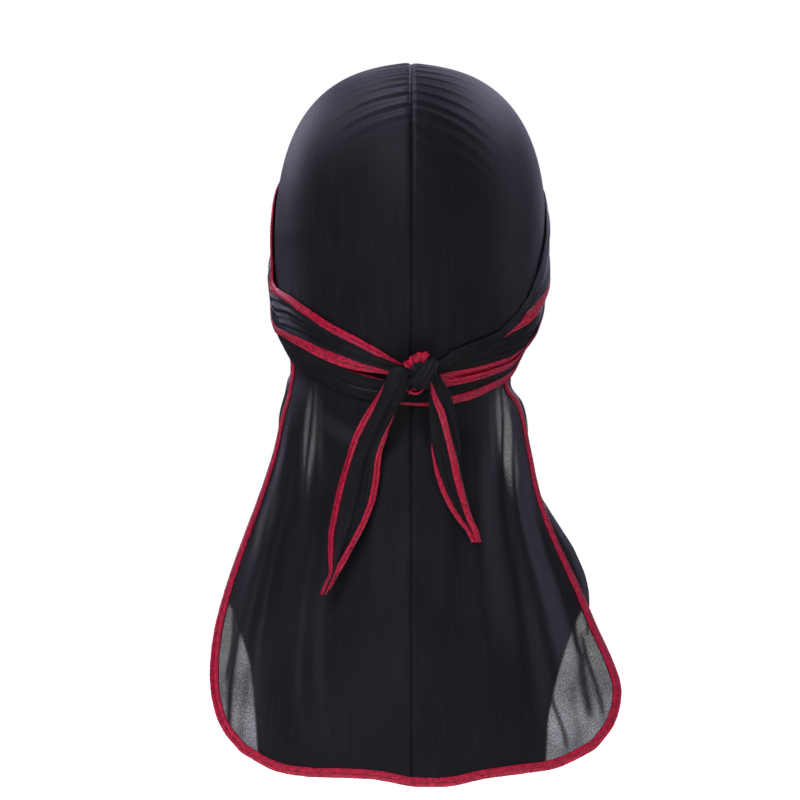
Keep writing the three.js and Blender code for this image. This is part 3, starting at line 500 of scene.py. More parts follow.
# %% [markdown]
# Making a mesh from a grid of points
#
# Every piece here is a grid: rows of points along the cloth, columns across it. One function
# joins them with quads, turns the faces outwards, and writes the cloth coordinates by adding up
# the distances between points, so that one unit of the texture is one metre of cloth. A flat
# sheet then gets its thickness from the Solidify modifier. A tape or a knot is a ring of points
# that closes on itself, so it needs no modifier.

# %% Grid meshes
# The way along a line to each of its points, or along each line of a grid
def travelled(points, axis=0):
    steps = np.linalg.norm(np.diff(points, axis=axis), axis=-1)
    return np.insert(np.cumsum(steps, axis=axis), 0, 0.0, axis=axis)


def cloth_coordinates(grid):
    u = travelled(grid, axis=1)
    steps = np.linalg.norm(np.diff(grid, axis=0), axis=-1).mean(axis=1)
    v = np.insert(np.cumsum(steps), 0, 0.0)
    return np.stack([u, np.repeat(v[:, None], grid.shape[1], axis=1)], axis=-1) * MM


def grid_normals(grid):
    along = np.gradient(grid, axis=0)
    across = np.gradient(grid, axis=1)
    return unit(np.cross(along, across))


def link_piece(name, mesh, material):
    mesh.polygons.foreach_set("use_smooth", np.ones(len(mesh.polygons), bool))
    mesh.materials.append(material)
    mesh.update()
    piece = bpy.data.objects.new(name, mesh)
    bpy.context.scene.collection.objects.link(piece)
    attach(piece, "root")
    return piece


def grid_piece(name, grid, material, outward=None, ring=False, thickness=None, painted_see_through=None):
    rows, columns = grid.shape[:2]
    index = np.arange(rows * columns).reshape(rows, columns)
    texture = cloth_coordinates(np.concatenate([grid, grid[:, :1]], axis=1) if ring else grid)
    if ring:
        index = np.concatenate([index, index[:, :1]], axis=1)
    corners = [(0, 0), (0, 1), (1, 1), (1, 0)]
    height, width = index.shape[0] - 1, index.shape[1] - 1
    faces = np.stack([index[a : a + height, b : b + width] for a, b in corners], axis=-1).reshape(-1, 4)
    uvs = np.stack([texture[a : a + height, b : b + width] for a, b in corners], axis=2).reshape(-1, 4, 2)
    points = grid.reshape(-1, 3)
    first, second = points[faces[:, 2]] - points[faces[:, 0]], points[faces[:, 3]] - points[faces[:, 1]]
    if ring:
        middles = np.repeat(grid.mean(axis=1), columns, axis=0)[faces[:, 0]]
        away = points[faces[:, 0]] - middles
    else:
        away = np.broadcast_to(np.asarray(outward, float), grid.shape).reshape(-1, 3)[faces[:, 0]]
    if (np.cross(first, second) * away).sum() < 0:
        faces, uvs = faces[:, ::-1], uvs[:, ::-1]
    face_list = faces.tolist()
    uv_list = uvs.reshape(-1, 2)
    if ring:
        flipped = faces[0, 0] != index[0, 0]
        ends = [list(range(columns)), list(range((rows - 1) * columns, rows * columns))]
        ends[1 if flipped else 0].reverse()
        face_list += ends
        uv_list = np.concatenate([uv_list, np.zeros((2 * columns, 2))])
    mesh = bpy.data.meshes.new(name)
    mesh.from_pydata((points * MM).tolist(), [], face_list)
    mesh.uv_layers.new(name="cloth").data.foreach_set("uv", uv_list.astype(np.float32).ravel())
    if painted_see_through is not None:
        values = mesh.attributes.new("painted_see_through", "FLOAT", "POINT")
        values.data.foreach_set("value", painted_see_through.astype(np.float32).ravel())
    piece = link_piece(name, mesh, material)
    if thickness:
        shell = piece.modifiers.new("thickness", "SOLIDIFY")
        shell.thickness = thickness * MM
        shell.offset = 0.0
        shell.use_even_offset = False
    print(name, "has", len(face_list), "faces")
    return piece


# %% [markdown]
# The crown's half of a panel
#
# On the head the satin is pulled smooth, so a panel is a patch of the head form. Its edge along
# the middle of the head is the seam, and its other edge runs from the temple to behind the ear,
# where the ties cover it. Each row of the patch is a great circle from the seam to that edge,
# which is also how the cloth is stretched. Over the top, the two sewn edges stand up a little.

# %% Crown of a panel
def crown_point(side, across, along):
    seam_angle = np.radians(lerp(-BROW_DIP, 180.0, along))[..., None]
    edge_angle = np.radians(lerp(TEMPLE_ANGLE, 180.0 - EAR_ANGLE, smoothstep(-0.15, 1.15, along)))[..., None]
    seam = RIM_FORWARD * np.cos(seam_angle) + RIM_UP * np.sin(seam_angle)
    outwards = np.array([side, 0.0, 0.0])
    edge = unit(RIM_FORWARD * np.cos(edge_angle) + outwards * np.sin(edge_angle)
                - RIM_UP * math.sin(math.radians(SIDE_DIP)))
    angle = np.arccos(np.clip((seam * edge).sum(-1, keepdims=True), -1.0, 1.0))
    a = np.asarray(across, float)[..., None]
    direction = seam * np.sin((1 - a) * angle) / np.sin(angle) + edge * np.sin(a * angle) / np.sin(angle)
    p = head_along(direction)
    ridge = np.exp(-np.abs(p[..., 0]) / SEAM_RIDGE_WIDTH) * np.sin(np.pi * along) ** 2
    return p + direction * (SEAM_RIDGE_HEIGHT * ridge)[..., None]


print("top of the seam at", np.round(crown_point(1, np.array(0.0), np.array(0.34)), 1))

# %% [markdown]
# The tail's half of a panel
#
# Below the nape the cloth hangs free and flares. Its side edge and its hem are tables of places
# on a gently curved surface, and the inside of the sheet is filled in from its four sides, as a
# soap film fills a wire frame. Long folds then fan out from under the ties. Close to the ties the
# cloth is held against the neck.

# %% Tail of a panel
TAIL_SIDES = {
    1: table("down reach", [
        (-0.018, 0.5), (0.073, 0.545), (0.174, 0.583), (0.275, 0.622), (0.372, 0.685), (0.459, 0.76),
        (0.546, 0.835), (0.633, 0.905), (0.72, 0.98), (0.79, 1.015), (0.862, 0.98), (0.92, 0.893),
    ]),
    -1: table("down reach", [
        (-0.018, 0.588), (0.073, 0.63), (0.174, 0.672), (0.275, 0.733), (0.372, 0.8), (0.459, 0.86),
        (0.546, 0.913), (0.633, 0.953), (0.72, 0.97), (0.798, 0.96), (0.869, 0.914), (0.927, 0.822),
    ]),
}
TAIL_HEMS = {
    1: table("across down", [(0.0, 1.0), (0.2, 1.0), (0.4, 0.982), (0.6, 0.972), (0.8, 0.96), (1.0, 0.92)]),
    -1: table("across down", [
        (0.0, 1.0), (0.2, 0.983), (0.4, 0.979), (0.6, 0.979), (0.8, 0.968), (1.0, 0.927),
    ]),
}
TAIL_FOLDS = {
    1: table("at_top at_hem width height start end", [
        (0.22, 0.12, 0.07, 0.5, 0.1, 0.55),
        (0.46, 0.3, 0.09, 0.9, 0.08, 0.8),
        (0.66, 0.52, 0.07, -0.8, 0.08, 0.9),
        (0.82, 0.68, 0.08, 1.1, 0.1, 1.0),
        (0.93, 0.84, 0.06, -0.7, 0.3, 1.0),
    ]),
    -1: table("at_top at_hem width height start end", [
        (0.16, 0.2, 0.08, 0.7, 0.1, 0.7),
        (0.36, 0.42, 0.09, -0.7, 0.1, 0.9),
        (0.52, 0.56, 0.08, 1.0, 0.08, 1.0),
        (0.72, 0.72, 0.07, -0.9, 0.08, 0.8),
        (0.87, 0.86, 0.07, 1.0, 0.1, 1.0),
    ]),
}


def tail_depth(down, x):
    opened = smoothstep(0.02, 0.9, down)
    hang = lerp(NAPE_BACK - 1, NAPE_BACK + TAIL_SWING, smoothstep(0.02, 1.0, down))
    neck = NECK_WRAP * ((x - NECK_LEAN) / (HEAD_WIDTH * 0.43)) ** 2
    wide = TAIL_WRAP * np.abs(x / TAIL_HALF_WIDTH) ** 2.2
    return -hang + lerp(neck, wide, opened)


def tail_outline(side):
    def place(reach, down):
        x = side * reach * TAIL_HALF_WIDTH
        return stack(x, tail_depth(down, x), -NAPE_DROP - down * TAIL_LENGTH)

    sides, hem_rows = TAIL_SIDES[side], TAIL_HEMS[side]
    one = np.array(1.0)
    edge = np.concatenate([[crown_point(side, one, one)], place(sides["reach"], sides["down"])])
    hem = place(sides["reach"][-1] * hem_rows["across"], hem_rows["down"])
    downs = np.linspace(0.0, hem_rows["down"][0], len(sides["down"]) + 1)
    seam = place(np.zeros_like(downs), downs)
    seam[0] = crown_point(side, np.array(0.0), one)
    return edge, hem, seam


def held_share(p):
    below = -((p - RIM_CENTRE) @ RIM_UP)
    leftness = np.minimum(1.0, (np.minimum(0.0, p[..., 0]) / (HEAD_WIDTH * 0.4)) ** 2)
    release = lerp(HELD_DEPTH, LEFT_HELD_DEPTH, leftness)
    return 1 - smoothstep(release, release + 12, below)


def tail_point(side, across, down):
    edge, hem, seam = tail_outline(side)
    a, d = across[..., None], down[..., None]
    sides = through(seam, down) * (1 - a) + through(edge, down) * a
    ends = crown_point(side, across, np.ones_like(across)) * (1 - d) + through(hem, across) * d
    corners = seam[0] * (1 - a) * (1 - d) + edge[0] * a * (1 - d) + hem[0] * (1 - a) * d + hem[-1] * a * d
    p = sides + ends - corners
    calm = smoothstep(0.0, 0.1, across) * (1 - 0.75 * smoothstep(0.9, 1.0, across))
    calm = calm * (1 - 0.6 * smoothstep(0.85, 1.0, down))
    folds = TAIL_FOLDS[side]
    for top, bottom, width, height, start, end in zip(*folds.values()):
        profile = np.exp(-(((across - lerp(top, bottom, down)) / width) ** 2))
        length = smoothstep(start, start + 0.2, down) * (1 - smoothstep(end - 0.25, end + 0.05, down))
        p[..., 1] -= FOLD_HEIGHT * height * profile * length * calm
    held = held_share(p)[..., None]
    return p * (1 - held) + on_head(p, np.zeros(p.shape[:-1])) * held


# %% [markdown]
# A whole panel, with the wrinkles that the seam pulls in
#
# The centre seam is sewn a little shorter than the cloth, so the satin gathers: short ridges run
# out of the seam over the back of the crown and die away after three or four centimetres. They
# are too sharp for a simulation of this size to find where the photographed ones are, so each is
# a row in a table: how far along the seam it starts, how far it reaches, its height, its width
# and how much it falls on the way. The rows of the grid are close together there.

# %% Seam wrinkles
# at: mm along the seam from the top of the head towards the back; reach, height, width: mm;
# fall: mm down the head for each mm away from the seam
SEAM_WRINKLES = {
    -1: table("at reach height width fall", [
        (-24, 18, 0.2, 1.5, 0.05), (-8, 20, 0.25, 1.6, 0.06), (8, 20, 0.3, 1.4, 0.08),
        (20, 20, 0.3, 1.3, 0.1), (31, 20, 0.35, 1.0, 0.12), (38, 22, 0.4, 0.9, 0.14),
        (44, 24, 0.42, 0.85, 0.16), (50, 24, 0.45, 0.85, 0.18), (57, 24, 0.45, 0.9, 0.2),
        (65.5, 27, 0.6, 1.0, 0.22), (75, 28, 0.55, 1.05, 0.25), (83, 26, 0.35, 1.3, 0.28),
        (93, 18, 0.15, 2.0, 0.3),
    ]),
    1: table("at reach height width fall", [
        (-16, 18, 0.2, 1.6, 0.05), (0, 20, 0.25, 1.5, 0.06), (14, 20, 0.3, 1.4, 0.1),
        (27, 22, 0.3, 1.2, 0.14), (38, 24, 0.35, 1.1, 0.18), (47, 24, 0.35, 1.1, 0.22),
        (56, 26, 0.4, 1.1, 0.27), (64, 30, 0.45, 1.1, 0.31), (72, 32, 0.5, 1.2, 0.34),
        (79, 32, 0.5, 1.2, 0.36), (88, 32, 0.5, 1.4, 0.36), (97, 30, 0.45, 1.9, 0.32),
        (112, 30, 0.4, 3.6, 0.2),
    ]),
}
WRINKLE_STRENGTH = {-1: 1.8, 1: 1.35}


def seam_relief(side, seam_place, distance):
    rows = SEAM_WRINKLES[side]
    relief = np.zeros(distance.shape)
    for at, reach, height, width, fall in zip(*rows.values()):
        offset = (seam_place - at - fall * distance) / (width * (1 + 0.35 * distance / reach))
        ridge = np.exp(-(offset**2)) - 0.55 * np.exp(-((offset - 1.9) ** 2))
        fade = np.exp(-((distance / reach) ** 2)) * smoothstep(-1.0, 4.0, distance)
        relief += WRINKLE_STRENGTH[side] * height * ridge * fade
    return relief


CROWN_ROWS = np.concatenate([
    np.linspace(0.0, 0.33, 40, endpoint=False),
    np.linspace(0.33, 0.66, 175, endpoint=False),
    np.linspace(0.66, 1.0, 50, endpoint=False),
])
TAIL_ROWS = np.linspace(0.0, 1.0, 150)
PANEL_COLUMNS = np.concatenate([
    np.linspace(0.0, 0.42, 31, endpoint=False),
    np.linspace(0.42, 1.0, 77),
])
PANEL_COLUMNS = PANEL_COLUMNS * (0.55 + 0.45 * PANEL_COLUMNS)
print(len(CROWN_ROWS) + len(TAIL_ROWS), "rows and", len(PANEL_COLUMNS), "columns in each panel")

# %% [markdown]
# Puckers above the ties
#
# The ties are pulled tight round the nape, and the satin above them rucks into faint upright
# puckers. They run square to the ties and fade about four centimetres above them.

# %% Pucker relief
PUCKER_PITCH = 9.0  # mm round the head
PUCKER_HEIGHT = 0.32
PUCKER_REACH = 42.0  # mm above the rim


def pucker_relief(p, side):
    above = (p - RIM_CENTRE) @ RIM_UP
    turn = np.arctan2(p[..., 0], -p[..., 1])
    place = turn * HEAD_WIDTH / 2 / PUCKER_PITCH
    wave = np.sin(2 * np.pi * place + 1.3 * np.sin(place * 1.7 + side)) * np.sin(place * 1.13 + 2 * side)
    near = smoothstep(2.0, 14.0, above) * (1 - smoothstep(0.3 * PUCKER_REACH, PUCKER_REACH, above))
    at_back = smoothstep(0.1, 0.5, -p[..., 1] / HEAD_LENGTH * 2)
    return PUCKER_HEIGHT * wave * near * at_back


# %% [markdown]
# Light through the tail
#
# A single layer of this satin is thin enough to see light through, but here the light that
# passes is painted. In the picture light comes through two patches at the lower corners, with a
# clean curved border, through a slot at each side of the nape, and weakly along the left edge, so
# light is let through only there. The rest of the tail is kept opaque, which is painted shade,
# and the curved border is the painted edge of that shade. Narrow pleats run down through them,
# and a pleat is dark because the light has three layers to pass. Places are in mm, measured on
# the worn tail.

# %% Painted see-through places
PAINTED_LIGHT_CORNERS = {
    -1: table("z inner", [
        (-306, 106), (-311, 102), (-318, 99.4), (-327, 95.4), (-340, 91.5), (-352, 89.6), (-364, 88.4),
        (-395, 86),
    ]),
    1: table("z inner", [
        (-303, 106), (-308, 99.8), (-321, 92.6), (-333, 87.2), (-347, 82.2), (-359, 79.3), (-370, 77),
        (-395, 75.6),
    ]),
}
# middle x and z, half width and half height, how far the bottom leans outwards, and how clear
PAINTED_LIGHT_SLOTS = {
    -1: table("x z half_width half_height lean clear", [
        (-58, -212, 5.2, 37, -3, 0.8), (-51.5, -208, 2.6, 30, 0, 0.35), (-84, -262, 5.5, 27, -7.5, 0.4),
    ]),
    1: table("x z half_width half_height lean clear", [
        (54.5, -213, 6.2, 38, 5, 1.0), (46, -205, 2.4, 28, 1, 0.3),
    ]),
}
# x and z at the top and at the bottom, half width, and how dark
SEE_THROUGH_PLEATS = {
    -1: table("x z end_x end_z width dark", [
        (-101, -312, -104, -348, 1.2, 0.8), (-99, -316, -103.5, -374, 1.5, 0.85),
        (-93, -340, -96, -380, 2.4, 0.25), (-56, -180, -60, -245, 0.9, 0.9),
        (-60, -185, -63, -240, 0.8, 0.6), (-79, -240, -88, -290, 1.8, 0.8),
    ]),
    1: table("x z end_x end_z width dark", [
        (88, -308, 97, -335, 1.8, 0.85), (97, -335, 100.5, -368, 2.4, 0.7),
        (98, -325, 108.5, -368, 1.2, 0.7), (79.5, -355, 87.5, -385, 1.0, 0.8),
        (99, -308, 101, -324, 0.9, 0.7), (92, -350, 94, -385, 2.2, 0.2),
        (57, -185, 60, -250, 1.1, 0.8), (50.5, -180, 53, -240, 0.9, 0.85),
    ]),
}


# Painted light and shade: 1 where light is let through, 0 where the tail is kept opaque as painted shade
def painted_light_through(side, p):
    x, z = p[..., 0], p[..., 2]
    inner = read_table(PAINTED_LIGHT_CORNERS[side], "z", "inner", z)
    painted_opening = smoothstep(inner - 0.9, inner + 0.9, side * x) * smoothstep(-300.0, -306.0, z)
    slots = PAINTED_LIGHT_SLOTS[side]
    for at, level, wide, tall, lean, clear in zip(*slots.values()):
        offset = (x - at - lean * (level - z) / tall) / wide
        oval = np.hypot(offset, (z - level) / tall)
        painted_opening = np.maximum(painted_opening, clear * (1 - smoothstep(0.45, 1.15, oval)) * (p[..., 1] < -10))
    pleats = SEE_THROUGH_PLEATS[side]
    for top_x, top_z, end_x, end_z, wide, dark in zip(*pleats.values()):
        share = (z - top_z) / (end_z - top_z)
        offset = (x - lerp(top_x, end_x, share) - 0.8 * np.sin(5 * share + top_x)) / wide
        within = smoothstep(-0.12, 0.1, share) * (1 - smoothstep(0.9, 1.15, share))
        painted_opening = painted_opening * (1 - dark * np.exp(-(offset**2)) * within)
    return painted_opening


# %% Panels
SEAM_GROOVE = 0.8  # mm deep
SEAM_GROOVE_WIDTH = 0.8
SEAM_ALLOWANCE = 2.0  # mm that the sewn edges turn in
SEAM_APART = 0.12  # mm from the middle to each sewn edge


def panel_grid(side):
    across, along = np.meshgrid(PANEL_COLUMNS, CROWN_ROWS)
    crown = crown_point(side, across, along)
    across, down = np.meshgrid(PANEL_COLUMNS, TAIL_ROWS)
    grid = np.concatenate([crown, tail_point(side, across, down)])
    normals = grid_normals(grid)
    normals *= np.sign((normals[30:150] * grid[30:150]).sum())
    grid = grid + normals * SOLID_WALL / 2
    distance = travelled(grid, axis=1)
    seam_place = travelled(grid[:, 0])
    top = int(np.argmax(grid[: len(CROWN_ROWS), 0, 2]))
    seam_place = np.repeat((seam_place - seam_place[top])[:, None], grid.shape[1], axis=1)
    relief = seam_relief(side, seam_place, distance) + pucker_relief(grid, side) + ear_lift(grid)
    relief -= SEAM_GROOVE * np.exp(-((distance / SEAM_GROOVE_WIDTH) ** 2))
    grid = grid + normals * relief[..., None]
    grid[:, 0, 0] = 0.0
    grid[..., 0] += side * SEAM_APART
    turned = grid[:, :1] - normals[:, :1] * SEAM_ALLOWANCE
    turned[..., 0] = side * SEAM_APART
    return np.concatenate([turned, grid], axis=1), normals


panel_grids = {side: panel_grid(side) for side in (-1, 1)}
for side, name in ((-1, "left"), (1, "right")):
    grid, normals = panel_grids[side]
    outward = np.concatenate([normals[:, :1], normals], axis=1)
    # The painted share of light that passes, with painted shade where it is 0
    painted_opening = painted_light_through(side, grid)
    grid_piece(f"{name}_panel_satin", grid, black_satin, outward=outward,
                              thickness=CLOTH, painted_see_through=painted_opening)
    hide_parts(f"{name}_panel")

# %% [markdown]
# A tape folded over an edge
#
# The binding is one strip folded lengthwise over the raw edge, so its section is a long U with
# the cloth inside it. The front leaf is held down by the stitch row near its inner edge and puffs
# up beside it. The tape is swept along the edge: at each station one direction points away from
# the cloth and one points out of its face, and the puckers change its width and thickness a
# little from stitch to stitch.

# %% Folded tape
STITCH_PITCH = 2.6
STITCH_LENGTH = 1.9
STITCH_THICKNESS = 0.32
STITCH_PLACE = 0.34  # from the middle of a tape towards its inner edge, as a share of its width
FOLD_STEPS = 7


def tape_section(width, thickness, open_gap=0.55):
    half = thickness / 2
    bend = np.linspace(math.pi / 2, -math.pi / 2, FOLD_STEPS)
    outer = [(-0.5 * width, 0.62 * half), (-0.43 * width, 0.9 * half), (-0.33 * width, 0.5 * half),
             (-0.22 * width, 0.95 * half), (0.05 * width, 1.08 * half)]
    fold = [(0.5 * width - half + half * math.cos(b), half * math.sin(b)) for b in bend]
    back = [(0.05 * width, -1.0 * half), (-0.33 * width, -0.8 * half), (-0.5 * width, -0.62 * half)]
    inner = [(-0.5 * width, -open_gap / 2), (0.35 * width, -open_gap / 2), (0.35 * width, open_gap / 2),
             (-0.5 * width, open_gap / 2)]
    return np.array(outer + fold + back + inner)


def pucker(count, length, pitch, depth, seed):
    wobble = np.random.default_rng(seed)
    place = np.linspace(0.0, length / pitch, count)
    phase = 2 * np.pi * place + 0.9 * np.sin(place * 0.37 + seed)
    knots = int(place[-1]) + 2
    slow = np.interp(place, np.arange(knots), wobble.normal(0.0, 1.0, knots))
    return 1 + depth * (0.5 * np.cos(phase) + 0.5 * np.clip(slow, -1.5, 1.5))


def sweep_tape(name, points, outwards, faces, width, thickness, seed, replaces=(), puff=0.16):
    points = np.asarray(points, float)
    length = float(np.linalg.norm(np.diff(points, axis=0), axis=-1).sum())
    section = tape_section(1.0, 1.0, open_gap=0.3)
    count = len(points)
    width = np.broadcast_to(width, count) * pucker(count, length, STITCH_PITCH, 0.05, seed)
    thickness = np.broadcast_to(thickness, count) * pucker(count, length, STITCH_PITCH, puff, seed + 1)
    a = section[None, :, 0] * width[:, None]
    t = section[None, :, 1] * thickness[:, None]
    grid = points[:, None] + outwards[:, None] * a[..., None] + faces[:, None] * t[..., None]
    piece = grid_piece(name, grid, crimson_satin, ring=True)
    if replaces:
        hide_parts(*replaces)
    return piece


# %% [markdown]
# Rows of stitches
#
# One stitch is a short, slightly arched capsule of thread that dips into the cloth at both ends.
# A row repeats it at the machine's stitch length along a line, all in one mesh, because hundreds
# of separate objects would be slow.

# %% Stitches
CAPSULE_RINGS = 5
CAPSULE_SIDES = 6


def stitch_row(name, line, faces, material, pitch=STITCH_PITCH, length=STITCH_LENGTH,
               thickness=STITCH_THICKNESS):
    place = travelled(line)
    centres = np.arange(pitch, place[-1] - pitch, pitch)
    middle = np.stack([np.interp(centres, place, line[:, k]) for k in range(3)], axis=-1)
    ahead = np.stack([np.interp(centres + 0.5, place, line[:, k]) for k in range(3)], axis=-1)
    up = unit(np.stack([np.interp(centres, place, faces[:, k]) for k in range(3)], axis=-1))
    along = unit(ahead - middle)
    beside = unit(np.cross(along, up))
    rings = np.linspace(-1.0, 1.0, CAPSULE_RINGS)
    angles = np.arange(CAPSULE_SIDES) * 2 * np.pi / CAPSULE_SIDES
    thick = thickness / 2 * np.sqrt(np.maximum(0.1, 1 - np.abs(rings) ** 3))
    arch = 0.35 * thickness * (1 - 1.8 * rings**2)
    local_along = np.repeat(rings * length / 2, CAPSULE_SIDES)
    local_beside = (thick[:, None] * np.cos(angles)).ravel()
    local_up = (thick[:, None] * np.sin(angles) + arch[:, None]).ravel()
    points = middle[:, None] + along[:, None] * local_along[:, None]
    points = points + beside[:, None] * local_beside[:, None] + up[:, None] * local_up[:, None]
    points = points.reshape(-1, 3)
    ring = np.arange(CAPSULE_SIDES)
    side_faces = [
        (r * CAPSULE_SIDES + j, r * CAPSULE_SIDES + (j + 1) % CAPSULE_SIDES,
         (r + 1) * CAPSULE_SIDES + (j + 1) % CAPSULE_SIDES, (r + 1) * CAPSULE_SIDES + j)
        for r in range(CAPSULE_RINGS - 1) for j in ring
    ]
    last_ring = (CAPSULE_RINGS - 1) * CAPSULE_SIDES
    caps = [tuple(reversed(ring.tolist())), tuple((last_ring + ring).tolist())]
    count = CAPSULE_RINGS * CAPSULE_SIDES
    all_faces = [tuple(i + k * count for i in f) for k in range(len(middle)) for f in side_faces + caps]
    mesh = bpy.data.meshes.new(name)
    mesh.from_pydata((points * MM).tolist(), [], all_faces)
    layer = mesh.uv_layers.new(name="cloth")
    vertex = np.zeros(len(mesh.loops), np.int32)
    mesh.loops.foreach_get("vertex_index", vertex)
    local = np.stack([local_beside, local_along], axis=-1)[vertex % count] * MM
    layer.data.foreach_set("uv", local.astype(np.float32).ravel())
    print(name, "has", len(middle), "stitches")
    return link_piece(name, mesh, material)


seam_line = panel_grids[1][0][:, 1].copy()
seam_line[:, 0] = 0.0
seam_face = panel_grids[1][1][:, 0].copy()
seam_face[:, 0] = 0.0
SEAM_STITCH_PITCH, SEAM_STITCH_LENGTH, SEAM_STITCH_THICKNESS = 1.9, 1.3, 0.34
SEAM_STITCH_RISE = 0.05  # mm above the seam
seam_face = unit(seam_face)
seam_stitches = stitch_row("centre_seam_stitches", seam_line + seam_face * SEAM_STITCH_RISE, seam_face,
                           black_thread, SEAM_STITCH_PITCH, SEAM_STITCH_LENGTH,
                           SEAM_STITCH_THICKNESS)

# %% [markdown]
# The tape of the tail
#
# The tail's tape runs from behind one ear down the side edge, round the corner, along the hem
# and up the other side. Its line is the outer edge of the two panel grids, one after the other.

# %% Tail tape
TAPE_WIDTH = 5.4
TAPE_THICKNESS = 2.0
CLOTH_IN_TAPE = 2.2  # mm of the cloth's edge that is inside the fold
TAPE_STEP = 0.9  # mm between the stations of a tape


def smooth_rows(values, rounds=3):
    for _ in range(rounds):
        inner = (values[:-2] + 2 * values[1:-1] + values[2:]) / 4
        values = np.concatenate([values[:1], inner, values[-1:]])
    return values


def resample(line, spacing, *others):
    place = travelled(line)
    wanted = np.linspace(0.0, place[-1], int(place[-1] / spacing) + 1)
    pick = lambda values: np.stack([np.interp(wanted, place, column) for column in values.T], axis=-1)
    return [pick(values) for values in (line, *others)]


# Binds an edge of the wrap: its line, and the directions that its cloth faces
def bind_edge(name, node, line, faces, seed, face_rounds, out_rounds):
    line, faces = resample(line, TAPE_STEP, faces)
    line, faces = smooth_rows(line, 6), unit(smooth_rows(faces, face_rounds))
    out = unit(np.cross(unit(np.gradient(line, axis=0)), faces))
    if out[:, 2].mean() > 0:
        out = -out
    out = unit(smooth_rows(out, out_rounds))
    centre = line + out * (TAPE_WIDTH / 2 - CLOTH_IN_TAPE)
    tape = sweep_tape(name, centre, out, faces, TAPE_WIDTH, TAPE_THICKNESS, seed, [node])
    sewn = centre - out * TAPE_WIDTH * STITCH_PLACE + faces * TAPE_THICKNESS * 0.4
    return centre, tape, stitch_row(f"{name}_stitches", sewn, faces, crimson_thread)


first_tail_row = len(CROWN_ROWS)


def panel_rim(side):
    grid, normals = panel_grids[side]
    down_edge = grid[first_tail_row + 1 :, -1], normals[first_tail_row + 1 :, -1]
    hem_edge = grid[-1, -2:0:-1], normals[-1, -2::-1]
    return np.concatenate([down_edge[0], hem_edge[0]]), np.concatenate([down_edge[1], hem_edge[1]])


left_rim, left_faces = panel_rim(-1)
right_rim, right_faces = panel_rim(1)
tail_line = np.concatenate([left_rim, right_rim[::-1]])
tail_faces = np.concatenate([left_faces, right_faces[::-1]])
tail_centre, tail_tape, tail_stitches = bind_edge("tail_binding", "tail_tape", tail_line, tail_faces,
                                                  seed=3, face_rounds=12, out_rounds=6)

# %% [markdown]
# Cloth that shows outside the tape
#
# Seen from behind, the tape doesn't follow the outermost line of the tail everywhere. Behind each
# ear, and low on the right, the satin bellies out past its bound edge, so a dark strip shows
# outside the tape. Each strip is a bulging leaf that starts under the tape. The table gives, at
# each height, how far it reaches beyond the middle of the tape.

# %% Outer folds
OUTER_FOLDS = {
    "left_ear_fold": (-1, table("z reach", [
        (-174, 0.4), (-180, 2.6), (-189, 3.0), (-198, 2.6), (-206, 1.6), (-212, 0.2),
    ])),
    "right_ear_fold": (1, table("z reach", [
        (-174, 0.6), (-180, 2.6), (-189, 3.1), (-200, 2.6), (-209, 1.8), (-215, 0.2),
    ])),
    "right_belly_fold": (1, table("z reach", [
        (-247, 1.5), (-256, 4.0), (-266, 6.6), (-278, 8.6), (-289, 8.4), (-299, 6.6), (-307, 3.8),
        (-312, 1.5),
    ])),
}


def outer_fold_grid(side, rows):
    z = np.linspace(rows["z"][0], rows["z"][-1], 70)[:, None]
    share = np.linspace(0.0, 1.0, 13)[None, :]
    rim = tail_centre[side * tail_centre[:, 0] > 20]
    rim = rim[(rim[:, 2] < -150) & (rim[:, 2] > -330)]
    order = np.argsort(rim[:, 2])
    at = lambda k: np.interp(z, rim[order, 2], rim[order, k])
    reach = read_table(rows, "z", "reach", z)
    x = at(0) + side * lerp(-1.2, reach, share)
    depth = at(1) + 1.6 + 5.5 * share**1.6 - 1.6 * np.sin(np.pi * share) * reach / 8
    return stack(x, depth, z)


outer_folds = {-1: [], 1: []}
for name, (side, rows) in OUTER_FOLDS.items():
    outer_folds[side].append(grid_piece(name, outer_fold_grid(side, rows), tie_satin,
                                        outward=[0.0, -1.0, 0.0], thickness=CLOTH))

# %% [markdown]
# The tape of the brow
#
# The front edge is bound from temple to temple. The ties cross it at both ends.

# %% Brow tape
brow_left, brow_left_faces = panel_grids[-1][0][0, :0:-1], panel_grids[-1][1][0, ::-1]
brow_right, brow_right_faces = panel_grids[1][0][0, 1:], panel_grids[1][1][0]
brow_line = np.concatenate([brow_left, brow_right[1:]])
brow_faces = np.concatenate([brow_left_faces, brow_right_faces[1:]])
brow_centre, brow_tape, brow_stitches = bind_edge("brow_binding", "brow_tape", brow_line, brow_faces,
                                                  seed=5, face_rounds=8, out_rounds=0)

# %% [markdown]
# The ties
#
# Each tie leaves the panel at the temple, runs back to the nape, crosses it, goes on round the
# brow and comes back to the knot, which is about a loop and a third of the head. The table gives
# its route: the turn from the nape in degrees, the heights of its two edges above the rim, the
# share of the tape that shows on each edge (0 where the edge is rolled in), and the slack, which
# is how far the tie stands off where it bridges the hollow behind the ear, and less than 0 where
# it is pressed in. Lengths are in mm.

